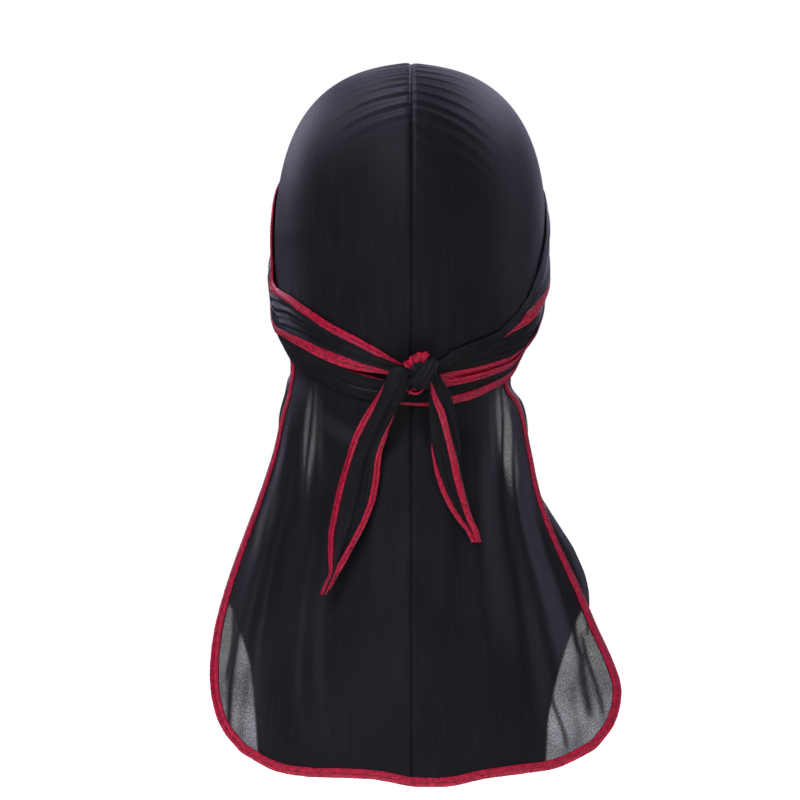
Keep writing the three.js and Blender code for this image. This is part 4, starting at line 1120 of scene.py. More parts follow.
# %% Tie routes
TIE_TAPE_WIDTH = 4.9
TIE_TAPE_THICKNESS = 1.4
TIE_COLUMNS = "turn low high low_tape high_tape slack"
TIE_ROUTES = {
    1: table(TIE_COLUMNS, [
        (126, -11.6, 12.6, 1, 1, 0), (105, -11, 13.4, 1, 1, 0), (88, -12, 15, 0.12, 0.9, 0),
        (76, -11.5, 18, 0.12, 0, 0.5), (66, -10, 20, 0.4, 0, 0.6), (57, -9, 20.5, 1, 0, 0.3),
        (45, -2.5, 21, 1, 0, 0), (34, 1.6, 21, 1, 0, 0), (21, 4.8, 19, 1, 0, 0),
        (14, 6.2, 15.5, 0.9, 0, 0), (4, 2, 12, 0.4, 0, 0), (0, -5.5, 11, 0, 0.6, 0),
        (-8, -6.5, 11, 0, 0.9, 0), (-14, -6.5, 11.6, 0, 0.95, 0), (-22, -6.5, 13, 0, 1, 0),
        (-29, -6.6, 14.5, 0, 0.9, 0), (-36, -8, 14.5, 0, 0.5, 0), (-45, -10.2, 13, 0, 0, 0),
        (-53, -12.8, 11, 0, 0, 0.4), (-61, -15.2, 9, 0, 0, 0.8), (-70, -15.6, 8.5, 0, 0, 1),
        (-81, -13.5, 8.8, 0, 0, 1), (-99, -10.5, 8.8, 1, 1, 0), (-126, -10.5, 8.8, 1, 1, 0),
        (-144, -11.6, 7.1, 1, 1, 0), (-162, -10.5, 7.6, 1, 1, 0), (-180, -2.1, 16.8, 1, 1, 0),
        (-207, 9.2, 30, 1, 1, 0), (-228, 13, 38, 1, 1, 0), (-246, 14, 46, 0.5, 0.5, 0),
        (-254, 12, 48, 0.15, 0, 0.1), (-262, 10, 46, 0.15, 0, 0.3), (-270, 7.6, 40, 0.9, 0, 0.4),
        (-280, 10.6, 35, 1.3, 0, 0.4), (-290, 13.6, 33, 1.5, 0, 0.3), (-299, 16, 30, 1.5, 0, 0.2),
        (-306, 17.9, 27, 1.1, 0, 0), (-311, 19, 25.4, 0.55, 0, 0), (-316, 18.6, 23.6, 0, 0, 0),
        (-324, 17.4, 23.6, 0, 0, 0), (-336, 14.4, 22.2, 0, 0, 0), (-343, 11.6, 17.4, 0, 0, 0),
        (-352, 10.4, 14.8, 0, 0, 0),
    ]),
    -1: table(TIE_COLUMNS, [
        (126, -11.6, 12.6, 1, 1, 0), (90, -9, 9, 1, 1, 0), (60, -9.6, 9, 1, 1, 0),
        (36, -5.9, 10, 1, 1, 0), (18, -4.6, 9, 0.5, 0.8, 0), (8, -6, 7.4, 0.35, 0.8, 0),
        (0, -7.2, 6.3, 0.35, 0.9, 0), (-8, -8.6, 6.4, 0.4, 1, 0), (-14, -10.1, 7.4, 0.8, 1, 0),
        (-21, -11, 6, 1, 1, 0), (-28, -12.4, 4.4, 1, 1, 0), (-38, -14.6, 1.2, 1, 1, 0),
        (-45, -17.2, -1.5, 1, 1, 0), (-52, -20.6, -5.4, 1, 1, 0), (-58, -23.6, -7.2, 1, 1, 0),
        (-66, -25, -7, 1, 0.6, -0.6), (-78, -22, -6, 1, 0.15, -0.6), (-92, -17, -4.6, 1, 0.15, 0),
        (-106, -12.6, 7.1, 1, 1, 0), (-126, -10.5, 8.4, 1, 1, 0), (-153, -10.5, 8.4, 1, 1, 0),
        (-180, -2.1, 16.8, 1, 1, 0), (-198, 9.7, 29, 1, 1, 0), (-216, 11, 36, 1, 1, 0),
        (-234, 9, 42, 1, 1, 0), (-248, 4, 45, 1, 1, 0.2), (-258, -2, 38, 1, 1, 0.4),
        (-264, -6, 25, 1, 1, 0.5), (-270, -9, 13, 1, 1, 0.6), (-276, -9, 15, 1, 1, 0.6),
        (-284, -7.5, 20.5, 1, 1, 0.4), (-298, 2.4, 29, 1, 1, 0.2), (-314, 9, 32.6, 1.1, 1, 0),
        (-332, 11, 31.6, 1.2, 1, 0), (-347, 11.4, 26, 0.7, 0.95, 0), (-356, 11, 19.8, 0.5, 0.65, 0),
        (-360, 10.8, 17, 0.45, 0.5, 0),
    ]),
}
TIE_STEP = 1.0  # degrees between rows of a tie


# A place on a tie: its turn, its height from the rim's plane and its lift from the head
def tie_point(side, turn, height, lift):
    at = np.radians(side * turn)
    middle = rim_point(at)
    ahead = unit(rim_point(at + 0.02) - rim_point(at - 0.02))
    up = unit(np.cross(head_normal(at, middle[..., 2]), ahead))
    up *= np.where(up[..., 2:] < 0, -1.0, 1.0)
    moved = middle + up * np.asarray(height)[..., None]
    return on_head(moved, lift + ear_lift(moved))


def tie_state(side, turn):
    route = TIE_ROUTES[side]
    state = {c: read_table(route, "turn", c, turn) for c in TIE_COLUMNS.split()[1:]}
    state["tape"] = np.minimum(TIE_TAPE_WIDTH, (state["high"] - state["low"]) * 0.34)
    return state


def tie_turns(side):
    route = TIE_ROUTES[side]["turn"]
    return np.linspace(route[0], route[-1], int(abs(route[-1] - route[0]) / TIE_STEP) + 1)


print("right tie goes through", abs(TIE_ROUTES[1]["turn"][-1] - TIE_ROUTES[1]["turn"][0]), "degrees")

# %% [markdown]
# Laying the ties over each other
#
# Real ties lie snug: each turn rests on whatever is under it and drops to the panel at its sides.
# A simulation of six passes of thin cloth would be slow and could slip, so the layers are laid
# by a map instead. The map holds, for every degree round the head and every half millimetre of
# height, how far out the cloth there already reaches. Each pass of a tie reads the map, spread
# and smoothed a little as stiff cloth spans a step, lies on it, and then adds itself to it.

# %% Layer map
COVER_HEIGHTS = np.arange(-40.0, 62.0, 0.5)
PANEL_TOP = SOLID_WALL / 2 + CLOTH / 2 + 0.1
TAPE_TOP = 1.9
LAYER_BUILD = 1.6  # what one layer of tie adds, in mm
# side, and the turns between which a pass lies, in the order in which they are wrapped
TIE_PASSES = [
    (-1, 126, -20), (1, 126, -20), (-1, -20, -170), (1, -20, -170), (1, -170, -352), (-1, -170, -360),
]


def spread(cover, reach, axis):
    shifts = range(-reach, reach + 1)
    return np.max([np.roll(cover, k, axis=axis) for k in shifts], axis=0)


def blur(values, sigma, axis, wrap):
    reach = int(3 * sigma)
    weights = np.exp(-0.5 * (np.arange(-reach, reach + 1) / sigma) ** 2)
    pads = [(reach, reach) if k == axis else (0, 0) for k in range(values.ndim)]
    padded = np.pad(values, pads, mode="wrap" if wrap else "edge")
    kernel = lambda line: np.convolve(line, weights / weights.sum(), mode="valid")
    return np.apply_along_axis(kernel, axis, padded)


cover = np.full((360, len(COVER_HEIGHTS)), PANEL_TOP)
for point in np.concatenate([tail_centre, brow_centre]):
    place = int(round(math.degrees(math.atan2(point[0], -point[1])))) % 360
    height = float((point - RIM_CENTRE) @ RIM_UP)
    near_tape = np.abs(COVER_HEIGHTS - height) < 2.8
    cover[place, near_tape] = TAPE_TOP

tie_under = {side: np.zeros((len(tie_turns(side)), len(COVER_HEIGHTS))) for side in (-1, 1)}
for side, first, last in TIE_PASSES:
    turns = tie_turns(side)
    rows = np.flatnonzero((turns <= first) & (turns >= last))
    places = np.round(side * turns[rows]).astype(int) % 360
    under = blur(blur(spread(spread(cover, 3, 1), 2, 0), 2.5, 1, False), 2.0, 0, True)[places]
    tie_under[side][rows] = under
    state = tie_state(side, turns[rows])
    for place, line, bottom, top in zip(places, under, state["low"], state["high"]):
        inside = (COVER_HEIGHTS >= bottom) & (COVER_HEIGHTS <= top)
        cover[place, inside] = np.maximum(cover[place, inside], line[inside] + LAYER_BUILD)
tie_under = {side: blur(blur(under, 4.0, 0, False), 2.0, 1, False) for side, under in tie_under.items()}
print("the ties build up to", round(float(cover.max()), 1), "mm from the head")


# How far out a tie lies at each of its turns and at the heights given for them
def tie_rest(side, rows, heights):
    lines = tie_under[side][rows]
    return np.array([np.interp(h, COVER_HEIGHTS, line) for h, line in zip(heights, lines)])


# %% [markdown]
# The cloth of a tie, with its pleats
#
# A tie is some centimetres broad when it lies flat, and it is pulled into long pleats as it is tied.
# Each pleat is a ridge with one steep side that runs the length of the tie and wanders a little.
# The band is a grid across and along, with its edges tucked under the tapes. Where an edge is
# rolled in, the cloth curls down to the layer beneath.

# %% Tie cloth
TIE_CLOTH = 0.5
TIE_GAP = 0.12
TAPE_LIFT = 0.45  # the cloth is this much higher where a tape goes round its edge and under it
TAPE_OVER = 0.35  # how much prouder than the cloth's edge the middle of the tape lies
TIE_PLEATS = table("place width height steep", [
    (0.13, 0.05, 0.45, 0.35), (0.3, 0.07, 0.8, 0.4), (0.47, 0.06, 0.6, -0.35), (0.64, 0.07, 0.95, 0.3),
    (0.84, 0.05, 0.5, -0.3),
])
TIE_SHARES = np.linspace(0.0, 1.0, 53)


def pleat_relief(share, place, seed, rows=TIE_PLEATS):
    relief = np.zeros(np.broadcast(share, place).shape)
    for i, (middle, width, height, steep) in enumerate(zip(*rows.values())):
        wander = 0.05 * np.sin(place * (0.031 + 0.007 * i) + seed * 1.7 + 2.1 * i)
        breath = 0.7 + 0.3 * np.sin(place * (0.047 + 0.011 * i) + seed + i)
        offset = (share - middle - wander) / width
        skew = offset / (1 + steep * np.tanh(offset * 1.5))
        relief += height * breath * np.exp(-(skew**2))
    return relief


def tie_grid(side):
    turns = tie_turns(side)
    low, high, low_tape, high_tape, slack, tape = tie_state(side, turns).values()
    inner_low = low + tape * low_tape * 0.75
    inner_high = high - tape * high_tape * 0.75
    share = TIE_SHARES[None, :]
    height = lerp(inner_low[:, None], inner_high[:, None], share)
    width = (high - low)[:, None]
    place = np.radians(turns)[:, None] * HEAD_WIDTH / 2
    from_low = height - (low + tape * low_tape)[:, None]
    from_high = (high - tape * high_tape)[:, None] - height
    edge = smoothstep(0.0, 2.6, from_low) * smoothstep(0.0, 2.6, from_high)
    relief = pleat_relief(share, place, side) * np.minimum(1.0, width / 14.0) * edge
    taped = low_tape[:, None] * (1 - smoothstep(0.05, 0.25, share))
    taped = taped + high_tape[:, None] * (1 - smoothstep(0.05, 0.25, 1 - share))
    rolled = np.clip(1 - low_tape, 0, 1)[:, None] * np.exp(-((share / 0.05) ** 2))
    rolled = rolled + np.clip(1 - high_tape, 0, 1)[:, None] * np.exp(-(((1 - share) / 0.05) ** 2))
    rest = tie_rest(side, np.arange(len(turns)), height)
    rise = TIE_GAP + TIE_CLOTH / 2 + relief + TAPE_LIFT * taped + 0.35 * (1 - rolled)
    turn_grid = np.repeat(turns[:, None], len(TIE_SHARES), axis=1)
    return tie_point(side, turn_grid, height, rest + rise + slack[:, None])


for side, name in ((-1, "left"), (1, "right")):
    grid = tie_grid(side)
    away = stack(grid[..., 0], grid[..., 1], 0 * grid[..., 2])
    grid_piece(f"{name}_tie_satin", grid, tie_satin, outward=away,
                            thickness=TIE_CLOTH)
    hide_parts(f"{name}_tie")
    print(name, "tie is", round(float(travelled(grid[:, 20])[-1])), "mm long")

# %% [markdown]
# The tapes of the ties
#
# Both long edges of a tie are bound. The tape shows only where its edge lies on the outside, so
# each visible stretch is a piece of its own, and it narrows to nothing where the edge rolls in.

# %% Tie tapes
SHOWN = 0.08  # share of the tape's width under which it counts as rolled in


# Sweeps a narrow tape along its middle line and sews it down
def bind_strip(name, node, centre, out, face, width, thickness, seed, step, sewn_rise):
    sizes = np.stack([width, thickness], axis=-1)
    centre, out, face, sizes = resample(centre, step, out, face, sizes)
    tape = sweep_tape(name, centre, unit(out), unit(face), sizes[:, 0], sizes[:, 1], seed, [node])
    sewn = centre - out * (sizes[:, :1] * STITCH_PLACE) + face * (sizes[:, 1:] * sewn_rise)
    return [tape, stitch_row(f"{name}_stitches", sewn, unit(face), crimson_thread)]


def tie_tape_stretches(side, edge):
    turns = tie_turns(side)
    shown = tie_state(side, turns)[f"{edge}_tape"] > SHOWN
    breaks = np.flatnonzero(np.diff(shown.astype(int))) + 1
    return [run for run in np.split(np.arange(len(turns)), breaks) if shown[run[0]] and len(run) > 4]


def tie_tape(side, edge, stretch, name, node):
    rows = tie_tape_stretches(side, edge)[stretch]
    turns = tie_turns(side)[rows]
    state = tie_state(side, turns)
    width = state["tape"] * state[f"{edge}_tape"]
    sign = -1 if edge == "low" else 1
    middle = state[edge] - sign * width / 2
    lift = TIE_GAP + TIE_CLOTH / 2 + TAPE_LIFT + TAPE_OVER + state["slack"]
    rest = {k: tie_rest(side, rows, middle + k * width / 2) for k in (-1, 0, 1)}
    over = np.maximum(0.0, (rest[-1] + rest[1]) / 2 - rest[0])
    spot = lambda k: tie_point(side, turns, middle + k * width / 2, rest[k] + lift + 0.6 * over)
    centre, out = spot(0), unit(spot(sign) - spot(-sign))
    face = unit(np.cross(np.gradient(centre, axis=0), out))
    face *= np.where((face[:, :2] * centre[:, :2]).sum(-1, keepdims=True) < 0, -1.0, 1.0)
    centre, out, face = smooth_rows(centre, 2), unit(smooth_rows(out, 3)), unit(smooth_rows(face, 3))
    seed = 20 + 10 * side + (1 if edge == "low" else 2) + 3 * stretch
    thickness = TIE_TAPE_THICKNESS * np.clip(width / TIE_TAPE_WIDTH, 0.3, 1.1)
    return bind_strip(name, node, centre, out, face, width, thickness, seed, TAPE_STEP, 0.4)


tie_tapes = {-1: [], 1: []}
for side, edge, stretch, name, node in (
    (-1, "high", 0, "left_tie_upper_binding", "left_tie_upper_tape"),
    (-1, "low", 0, "left_tie_lower_binding", "left_tie_lower_tape"),
    (1, "high", 0, "right_tie_upper_binding", "right_tie_upper_tape"),
    (1, "low", 0, "right_tie_lower_binding", "right_tie_lower_tape"),
    (1, "low", 1, "right_tie_return_binding", "right_tie_return_tape"),
):
    tie_tapes[side] += tie_tape(side, edge, stretch, name, node)

# %% [markdown]
# The knot
#
# The ties are knotted once at the nape. What shows is a bundle of cloth that runs through the
# knot from left to right, and one turn of tie that goes round it at a slant. The turn is a closed
# band with three pleats along it. It is modelled from the sizes given here, because a simulated
# knot could slip. The ties lie lower here than their solids, so the knot stands some millimetres
# clear of them, and that shows from the side.

# %% Knot sizes
KNOT_LENGTH = 20.0
KNOT_HEIGHT = 21.0
KNOT_DEPTH = 10.0
KNOT_RISE = 12.0
KNOT_SHIFT = 6.0
KNOT_WRAP_WIDTH = 11.0
KNOT_WRAP_THICKNESS = 2.2
KNOT_TILT = math.radians(33)
KNOT_SEAT = 6.4  # mm of ties and air between the head and the knot

knot_back = float(head_section(NAPE_DROP - KNOT_RISE)[1])
knot_reach = knot_back + KNOT_SEAT + KNOT_WRAP_THICKNESS + KNOT_DEPTH / 2
KNOT_CENTRE = np.array([KNOT_SHIFT, -knot_reach, -NAPE_DROP + KNOT_RISE])
WRAP_DOWN = np.array([-math.sin(KNOT_TILT), 0.0, -math.cos(KNOT_TILT)])
WRAP_SIDE = np.array([math.cos(KNOT_TILT), 0.0, -math.sin(KNOT_TILT)])
WRAP_OUT = np.array([0.0, -1.0, 0.0])


def knot_point(sideways, down, out):
    parts = (np.asarray(v, float)[..., None] * axis for v, axis in
             ((sideways, WRAP_SIDE), (down, WRAP_DOWN), (out, WRAP_OUT)))
    return KNOT_CENTRE + sum(parts)


print("knot at", np.round(KNOT_CENTRE, 1))

# %% Knot turn and bundle
WRAP_STEPS = 96
WRAP_ACROSS = np.linspace(-1.0, 1.0, 45)
WRAP_BOW = 2.6  # mm that the turn bows to the right in front


def knot_wrap_grid():
    angle = np.linspace(0.0, 2 * np.pi, WRAP_STEPS, endpoint=False)[:, None]
    a = WRAP_ACROSS[None, :]
    front = np.clip(np.sin(angle), 0.0, 1.0)
    width = KNOT_WRAP_WIDTH / 2 * (0.8 + 0.12 * np.cos(angle) + 0.06 * front)
    bow = WRAP_BOW * front
    ridges = sum(height * np.exp(-(((a - place - 0.1 * np.cos(angle)) / 0.2) ** 2))
                 for place, height in ((0.6, 0.6), (0.05, 0.9), (-0.55, 0.6)))
    bulge = KNOT_WRAP_THICKNESS * (0.3 + 0.5 * np.sqrt(np.clip(1 - a**2, 0, 1))) + 0.7 * ridges
    outer = knot_point(
        a * width + bow,
        np.cos(angle) * (KNOT_HEIGHT / 2 - KNOT_WRAP_THICKNESS + bulge),
        np.sin(angle) * (KNOT_DEPTH / 2 + bulge),
    )
    inner = knot_point(
        a[:, ::-1] * width * 0.9 + bow,
        np.cos(angle) * (KNOT_HEIGHT / 2 - KNOT_WRAP_THICKNESS),
        np.sin(angle) * (KNOT_DEPTH / 2),
    )
    return np.concatenate([outer, np.broadcast_to(inner, (WRAP_STEPS,) + inner.shape[1:])], axis=1)


# A closed ring of rings has no ends, so it is made as a long ring with its last row on its first
def closed_loop_piece(name, grid, material):
    looped = np.concatenate([grid, grid[:1]])
    piece = grid_piece(name, looped, material, ring=True)
    mesh = piece.data
    shape = bmesh.new()
    shape.from_mesh(mesh)
    caps = [f for f in shape.faces if len(f.verts) > 4]
    bmesh.ops.delete(shape, geom=caps, context="FACES_ONLY")
    bmesh.ops.remove_doubles(shape, verts=shape.verts, dist=1e-6)
    shape.to_mesh(mesh)
    shape.free()
    return piece


knot_wrap = closed_loop_piece("knot_turn_satin", knot_wrap_grid(), tie_satin)
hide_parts("knot_wrap")


def knot_bundle_grid():
    along = np.linspace(-1.0, 1.0, 41)[:, None]
    angle = np.linspace(0.0, 2 * np.pi, 72, endpoint=False)[None, :]
    thick = np.sqrt(np.clip(1 - np.abs(along) ** 2.6, 0.05, 1))
    creases = 1 + 0.045 * np.cos(7 * angle + 2.2 * along) + 0.02 * np.cos(13 * angle - 1.5 * along)
    down = np.cos(angle) * thick * creases * (KNOT_HEIGHT / 2 - KNOT_WRAP_THICKNESS - 1.8)
    out = np.sin(angle) * thick * creases * (KNOT_DEPTH / 2 - 0.6)
    return knot_point(along * (KNOT_LENGTH / 2 - 1.5) + 0 * angle, down, out)


knot_bundle = grid_piece("knot_bundle_satin", knot_bundle_grid(), tie_satin, ring=True)
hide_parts("knot_bundle")

# %% [markdown]
# The tucked binding
#
# Where the left tie dives into the knot, its upper tape is squeezed into a small bright fan that
# stands up beside the turn. The table gives the fan's reach at each direction, in degrees from
# the wearer's right, and three radial pleats make its lobes.

# %% Tucked binding
FAN_PIVOT = np.array([2.6, 0.0, -171.6])
FAN_DEPTH = (88.0, 96.5)  # mm behind the middle of the head, at the pivot and at the rim of the fan
FAN = table("angle reach", [
    (50, 11.6), (62, 12.4), (72, 10.6), (84, 10.2), (98, 8.8), (110, 8.6), (124, 7.4), (146, 8.4), (158, 6.2),
])
FAN_LOBES = 3.2


def fan_grid():
    angle = np.linspace(FAN["angle"][0], FAN["angle"][-1], 61)[:, None]
    share = np.linspace(0.05, 1.0, 22)[None, :]
    reach = read_table(FAN, "angle", "reach", angle)
    lobes = np.cos(2 * np.pi * FAN_LOBES * (angle - 50) / 108 + 0.5)
    radius = reach * share * (1 + 0.02 * lobes)
    depth = lerp(*FAN_DEPTH, np.sin(share * 1.9) / math.sin(1.9) * 0.9) + 0.9 * lobes * share
    x = FAN_PIVOT[0] + radius * np.cos(np.radians(angle))
    z = FAN_PIVOT[2] + radius * np.sin(np.radians(angle))
    return stack(x, -depth, z)


TUCKED_THICKNESS = 0.7
tucked = grid_piece("knot_tucked_binding", fan_grid(), crimson_satin, outward=WRAP_OUT,
                    thickness=TUCKED_THICKNESS)

# The lower edge of the turn shows a thread of its tape
TURN_EDGE = table("x depth z", [
    (-3.2, 93.5, -182.0), (-0.8, 96.0, -183.6), (2.4, 97.2, -184.3), (5.6, 96.6, -183.0), (8.2, 94.5, -180.4),
])
edge_share = np.linspace(0.0, 1.0, 40)
edge_points = stack(TURN_EDGE["x"], -TURN_EDGE["depth"], TURN_EDGE["z"])
edge_line = through(edge_points, edge_share)
edge_down = np.broadcast_to(np.array([0.0, 0.0, -1.0]), edge_line.shape)
edge_face = np.broadcast_to(WRAP_OUT, edge_line.shape)
turn_edge = sweep_tape("knot_turn_binding", edge_line, edge_down, edge_face,
                       0.3 + 1.0 * np.sin(np.pi * edge_share), 0.9, 41)

# %% [markdown]
# The free ends
#
# Two ends of tie hang from the knot in front of the tail. Each is a pleated strip whose edges are
# read from a table, in millimetres: the height of the row, both edges, the widths of the tape on
# the two edges, and the place and width of a tape that runs up the middle where the strip is
# folded over. The strip stands proud in a fold or two, and leans back to the tail below the knot.

# %% Free ends
END_COLUMNS = "z left right left_tape right_tape fold"
END_ROWS = {
    -1: table(END_COLUMNS, [
        (-169.6, -9.6, 1.8, 0.0, 0.0, 0.5),
        (-171.6, -11.8, 1.5, 0.0, 0.0, 0.5),
        (-175.0, -13.8, 0.6, 0.0, 0.0, 0.5),
        (-180.0, -16.0, -1.0, 0.6, 0.0, 0.5),
        (-184.4, -18.5, -3.2, 1.4, 0.0, 0.5),
        (-190.3, -22.4, -6.6, 2.8, 0.0, 0.52),
        (-199.3, -28.1, -10.6, 4.1, 0.6, 0.54),
        (-210.4, -33.5, -14.2, 4.3, 2.6, 0.52),
        (-221.6, -37.1, -17.0, 4.5, 3.4, 0.48),
        (-232.8, -40.5, -18.0, 4.5, 3.7, 0.46),
        (-244.0, -43.3, -20.1, 4.4, 3.7, 0.46),
        (-255.1, -45.5, -24.0, 4.3, 3.7, 0.47),
        (-266.3, -47.2, -29.3, 4.0, 3.9, 0.5),
        (-277.5, -47.3, -35.4, 3.8, 4.1, 0.5),
        (-285.8, -46.9, -40.2, 3.2, 3.5, 0.5),
        (-292.0, -49.6, -43.3, 3.1, 3.2, 0.5),
        (-298.1, -52.0, -46.8, 2.8, 2.8, 0.5),
    ]),
    1: table(END_COLUMNS, [
        (-173.6, 7.0, 15.9, 0.0, 0.0, 0.31),
        (-178.1, 8.4, 17.9, 0.0, 0.0, 0.25),
        (-183.6, 9.2, 21.0, 0.0, 0.0, 0.25),
        (-189.2, 9.7, 23.2, 0.0, 0.0, 0.34),
        (-194.8, 10.0, 24.6, 0.0, 0.0, 0.45),
        (-208.8, 11.1, 26.9, 0.0, 0.0, 0.58),
        (-216.0, 11.2, 27.5, 0.7, 0.0, 0.67),
        (-222.7, 12.0, 27.7, 1.6, 0.0, 0.75),
        (-230.0, 13.3, 28.2, 2.5, 0.0, 0.79),
        (-237.2, 15.4, 29.6, 3.1, 0.0, 0.81),
        (-248.4, 20.4, 32.9, 3.5, 0.0, 0.78),
        (-256.8, 25.7, 35.7, 3.6, 0.0, 0.75),
        (-262.9, 30.5, 38.3, 3.4, 0.0, 0.71),
        (-269.1, 33.8, 40.0, 3.0, 0.0, 0.68),
    ]),
}
# The middle tape of the right end: where it is from the left edge, and how wide
MIDDLE_TAPE = table("z width", [
    (-173.6, 1.0), (-178.1, 1.7), (-183.6, 2.5), (-189.2, 3.6), (-194.8, 4.3), (-208.8, 4.5),
    (-230.0, 4.6), (-248.4, 4.8), (-262.9, 4.4), (-269.1, 3.8),
])
END_FOLD = 4.6  # mm
END_SHARES = np.linspace(0.0, 1.0, 57)
END_STEP = 0.8


def end_rows(side):
    rows = END_ROWS[side]
    z = np.linspace(rows["z"][0], rows["z"][-1], int((rows["z"][0] - rows["z"][-1]) / END_STEP))
    return z, {c: read_table(rows, "z", c, z) for c in END_COLUMNS.split()[1:]}


# A point of an end: z and values of its rows, share across from left to right
def end_point(side, z, row, share, proud=0.0):
    x = lerp(row["left"], row["right"], share)
    down = np.clip((-NAPE_DROP - z) / TAIL_LENGTH, 0.0, 1.0)
    tail = tail_depth(down, x) - FOLD_HEIGHT - SOLID_WALL - 1.2
    hung = smoothstep(-176.0, -228.0, z)
    base = lerp(KNOT_CENTRE[1] + 1.0, tail, hung)
    width = row["right"] - row["left"]
    dome = 2.6 * (1 - smoothstep(-176.0, -205.0, z)) * np.sin(np.pi * share)
    offset = (share - row["fold"]) / 0.15
    fold = np.exp(-(offset**2) * (1 + 0.4 * np.tanh(2 * offset))) + 0.3 * np.exp(-((offset - 1.9) ** 2) / 0.3)
    fold = fold * END_FOLD * np.clip(width / 16.0, 0.3, 1.0)
    fold = fold * smoothstep(-176.0, -200.0, z)
    ripple = 0.25 * np.sin(2 * np.pi * (3.4 * share + 0.018 * z + 0.3 * side)) * np.sin(np.pi * share)
    return stack(x, base - dome - fold - ripple - proud, z)


def end_tape(side, name, node, z, row, share, width, seed, outer):
    shown = width > 0.3
    z, share, width = z[shown], share[shown], width[shown]
    row = {c: v[shown] for c, v in row.items()}
    span = row["right"] - row["left"]
    middle = share * span
    spot = lambda beyond: end_point(side, z, row, np.clip((middle + beyond) / span, 0.0, 1.0), 0.35)
    centre = spot(0.0)
    out = unit(spot(1.0) - spot(-1.0)) * outer
    face = unit(np.cross(np.gradient(centre, axis=0), out))
    face *= np.where(face[:, 1:2] > 0, -1.0, 1.0)
    thickness = 1.4 * np.clip(width / TIE_TAPE_WIDTH, 0.35, 1.0)
    centre, out, face = smooth_rows(centre, 3), unit(smooth_rows(out, 6)), unit(smooth_rows(face, 6))
    return bind_strip(name, node, centre, out, face, width, thickness, seed, END_STEP, 0.42)


ends, end_tapes = {}, {-1: [], 1: []}
for side, name in ((-1, "left"), (1, "right")):
    z, row = end_rows(side)
    share = END_SHARES[None, :]
    wide = {c: v[:, None] for c, v in row.items()}
    grid = end_point(side, z[:, None] + 0 * share, wide, share + 0 * z[:, None])
    ends[side] = grid_piece(f"{name}_end_satin", grid, tie_satin, outward=WRAP_OUT,
                            thickness=TIE_CLOTH)
    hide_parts(f"{name}_tie_end")
    span = row["right"] - row["left"]
    left_share, right_share = row["left_tape"] / 2 / span, 1 - row["right_tape"] / 2 / span
    if side < 0:
        strips = [
            ("outer", left_share, row["left_tape"], 51, -1),
            ("inner", right_share, row["right_tape"], 52, 1),
        ]
    else:
        middle_width = read_table(MIDDLE_TAPE, "z", "width", z)
        strips = [
            ("outer", row["fold"], middle_width, 53, -1),
            ("inner", left_share, row["left_tape"], 54, -1),
        ]
    for edge, place, width, seed, outer in strips:
        binding, node = f"{name}_end_{edge}_binding", f"{name}_end_{edge}_tape"
        end_tapes[side] += end_tape(side, binding, node, z, row, place, width, seed, outer)

# %% [markdown]
# Pieces that go with each panel
#
# Cloth hardly stretches. For a panel it is an estimate of the outline's breadth, length and area.
# The pieces that go with each panel are gathered in a list here: for the left panel the tapes and
# stitches of the tail, the brow and the seam, and for each panel its outer folds. The list is not
# used further. For a tie or a free end it is the gathered band, as broad as it is on average, and
# not the cut of the unfolded cloth.

for side, name in ((-1, "left"), (1, "right")):
    with_pieces = [tail_tape, tail_stitches, brow_tape, brow_stitches, seam_stitches] if side < 0 else []
    with_pieces += outer_folds[side]

# %% [markdown]
# A pale floor and soft studio light
#
# Black satin shows its form mostly by what it mirrors. Two soft fills on the camera's side light
# the cloth evenly and aren't mirrored. Six of the other lamps stand beyond the head, to its sides
# and above it, and their mirror images draw the rim of the crown and the wrinkles. The last one
# stands high on the camera's side and gives what the camera sees a weak sheen. The white
# surroundings are for the camera alone, and the floor isn't mirrored in the satin.

# %% Floor
FLOOR_DROP = -470.0
FLOOR_RADIUS = 1.5
PAPER_CLEAR = 0.75  # metres from the middle at which the paper starts to fade
floor_mesh = bpy.data.meshes.new("floor")
floor_turns = np.linspace(0, 2 * math.pi, 96, endpoint=False)
floor_ring = [(FLOOR_RADIUS * math.cos(a), FLOOR_RADIUS * math.sin(a), FLOOR_DROP * MM) for a in floor_turns]
floor_mesh.from_pydata(floor_ring, [], [tuple(range(96))])
floor = bpy.data.objects.new("floor", floor_mesh)
bpy.context.scene.collection.objects.link(floor)
paper, paper_tree = new_material("matt_white_paper")
paper_place = add_node(paper_tree, "ShaderNodeTexCoord")
paper_spot = add_node(paper_tree, "ShaderNodeVectorMath", {
    0: paper_place.outputs["Object"],
}, operation="LENGTH")
paper_fade = add_node(paper_tree, "ShaderNodeMapRange", {
    "Value": paper_spot.outputs["Value"], "From Min": PAPER_CLEAR, "From Max": FLOOR_RADIUS,
    "To Min": 1.0, "To Max": 0.0,
}, interpolation_type="SMOOTHSTEP")
paper_grain = add_node(paper_tree, "ShaderNodeTexNoise", {
    "Vector": paper_place.outputs["Object"], "Scale": 900.0,
})
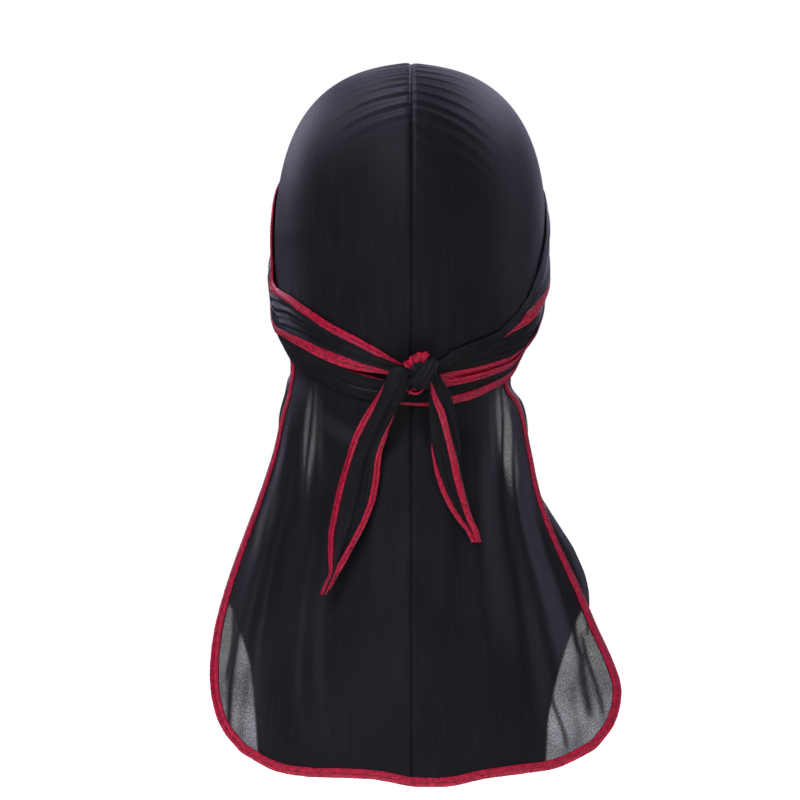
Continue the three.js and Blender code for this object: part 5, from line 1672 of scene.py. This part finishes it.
finish_surface(paper_tree, {
    "Base Color": linear("#f0f0f0"), "Roughness": 0.9,
    "Normal": bump_normal(paper_tree, paper_grain.outputs["Fac"], 0.1, 0.2),
    "Alpha": paper_fade.outputs["Result"],
    "Emission Color": linear("#ffffff"), "Emission Strength": 0.85,
})
floor_mesh.materials.append(paper)
floor.visible_glossy = False

# %% Surroundings and lamps
world = bpy.data.worlds.new("studio")
bpy.context.scene.world = world
world.use_nodes = True
world.node_tree.nodes.clear()
white = add_node(world.node_tree, "ShaderNodeBackground", {"Color": linear("#ffffff"), "Strength": 1.0})
add_node(world.node_tree, "ShaderNodeOutputWorld", {"Surface": white.outputs["Background"]})
world.cycles_visibility.glossy = False
world.cycles_visibility.diffuse = False
bpy.context.scene.view_settings.view_transform = "Standard"

# place and size in metres, power in watts, and whether the satin mirrors the lamp
LAMPS = [
    ("soft_front_fill", (-0.9, -1.8, 0.9), 1.4, 31.0, False),
    ("soft_front_fill_right", (1.2, -1.8, 0.0), 1.6, 7.0, False),
    ("right_panel", (1.9, 0.65, 0.35), 1.5, 4.0, True),
    ("left_top_panel", (-1.2, 0.7, 1.3), 1.2, 7.0, True),
    ("left_edge_panel", (-1.2, 1.7, 0.5), 0.8, 8.0, True),
    ("white_wall", (0.4, 2.1, 0.5), 1.8, 16.0, True),
    ("upper_left_panel", (-0.35, 0.6, 1.7), 0.6, 7.0, True),
    ("upper_right_panel", (1.0, 0.9, 1.1), 0.9, 8.0, True),
    ("camera_side_panel", (-0.7, -1.7, 1.5), 0.9, 8.0, True),
]
for name, place, size, power, mirrored in LAMPS:
    lamp_data = bpy.data.lights.new(name, "AREA")
    lamp_data.size = size
    lamp_data.energy = power
    lamp_data.color = linear("#e2deff" if mirrored else "#fdf8fa")[:3]
    lamp = bpy.data.objects.new(name, lamp_data)
    bpy.context.scene.collection.objects.link(lamp)
    lamp.location = place
    lamp.rotation_euler = (CAMERA_TARGET - lamp.location).to_track_quat("-Z", "Y").to_euler()
    lamp.visible_glossy = mirrored
    lamp.visible_camera = False
print("made", len(LAMPS), "lamps")
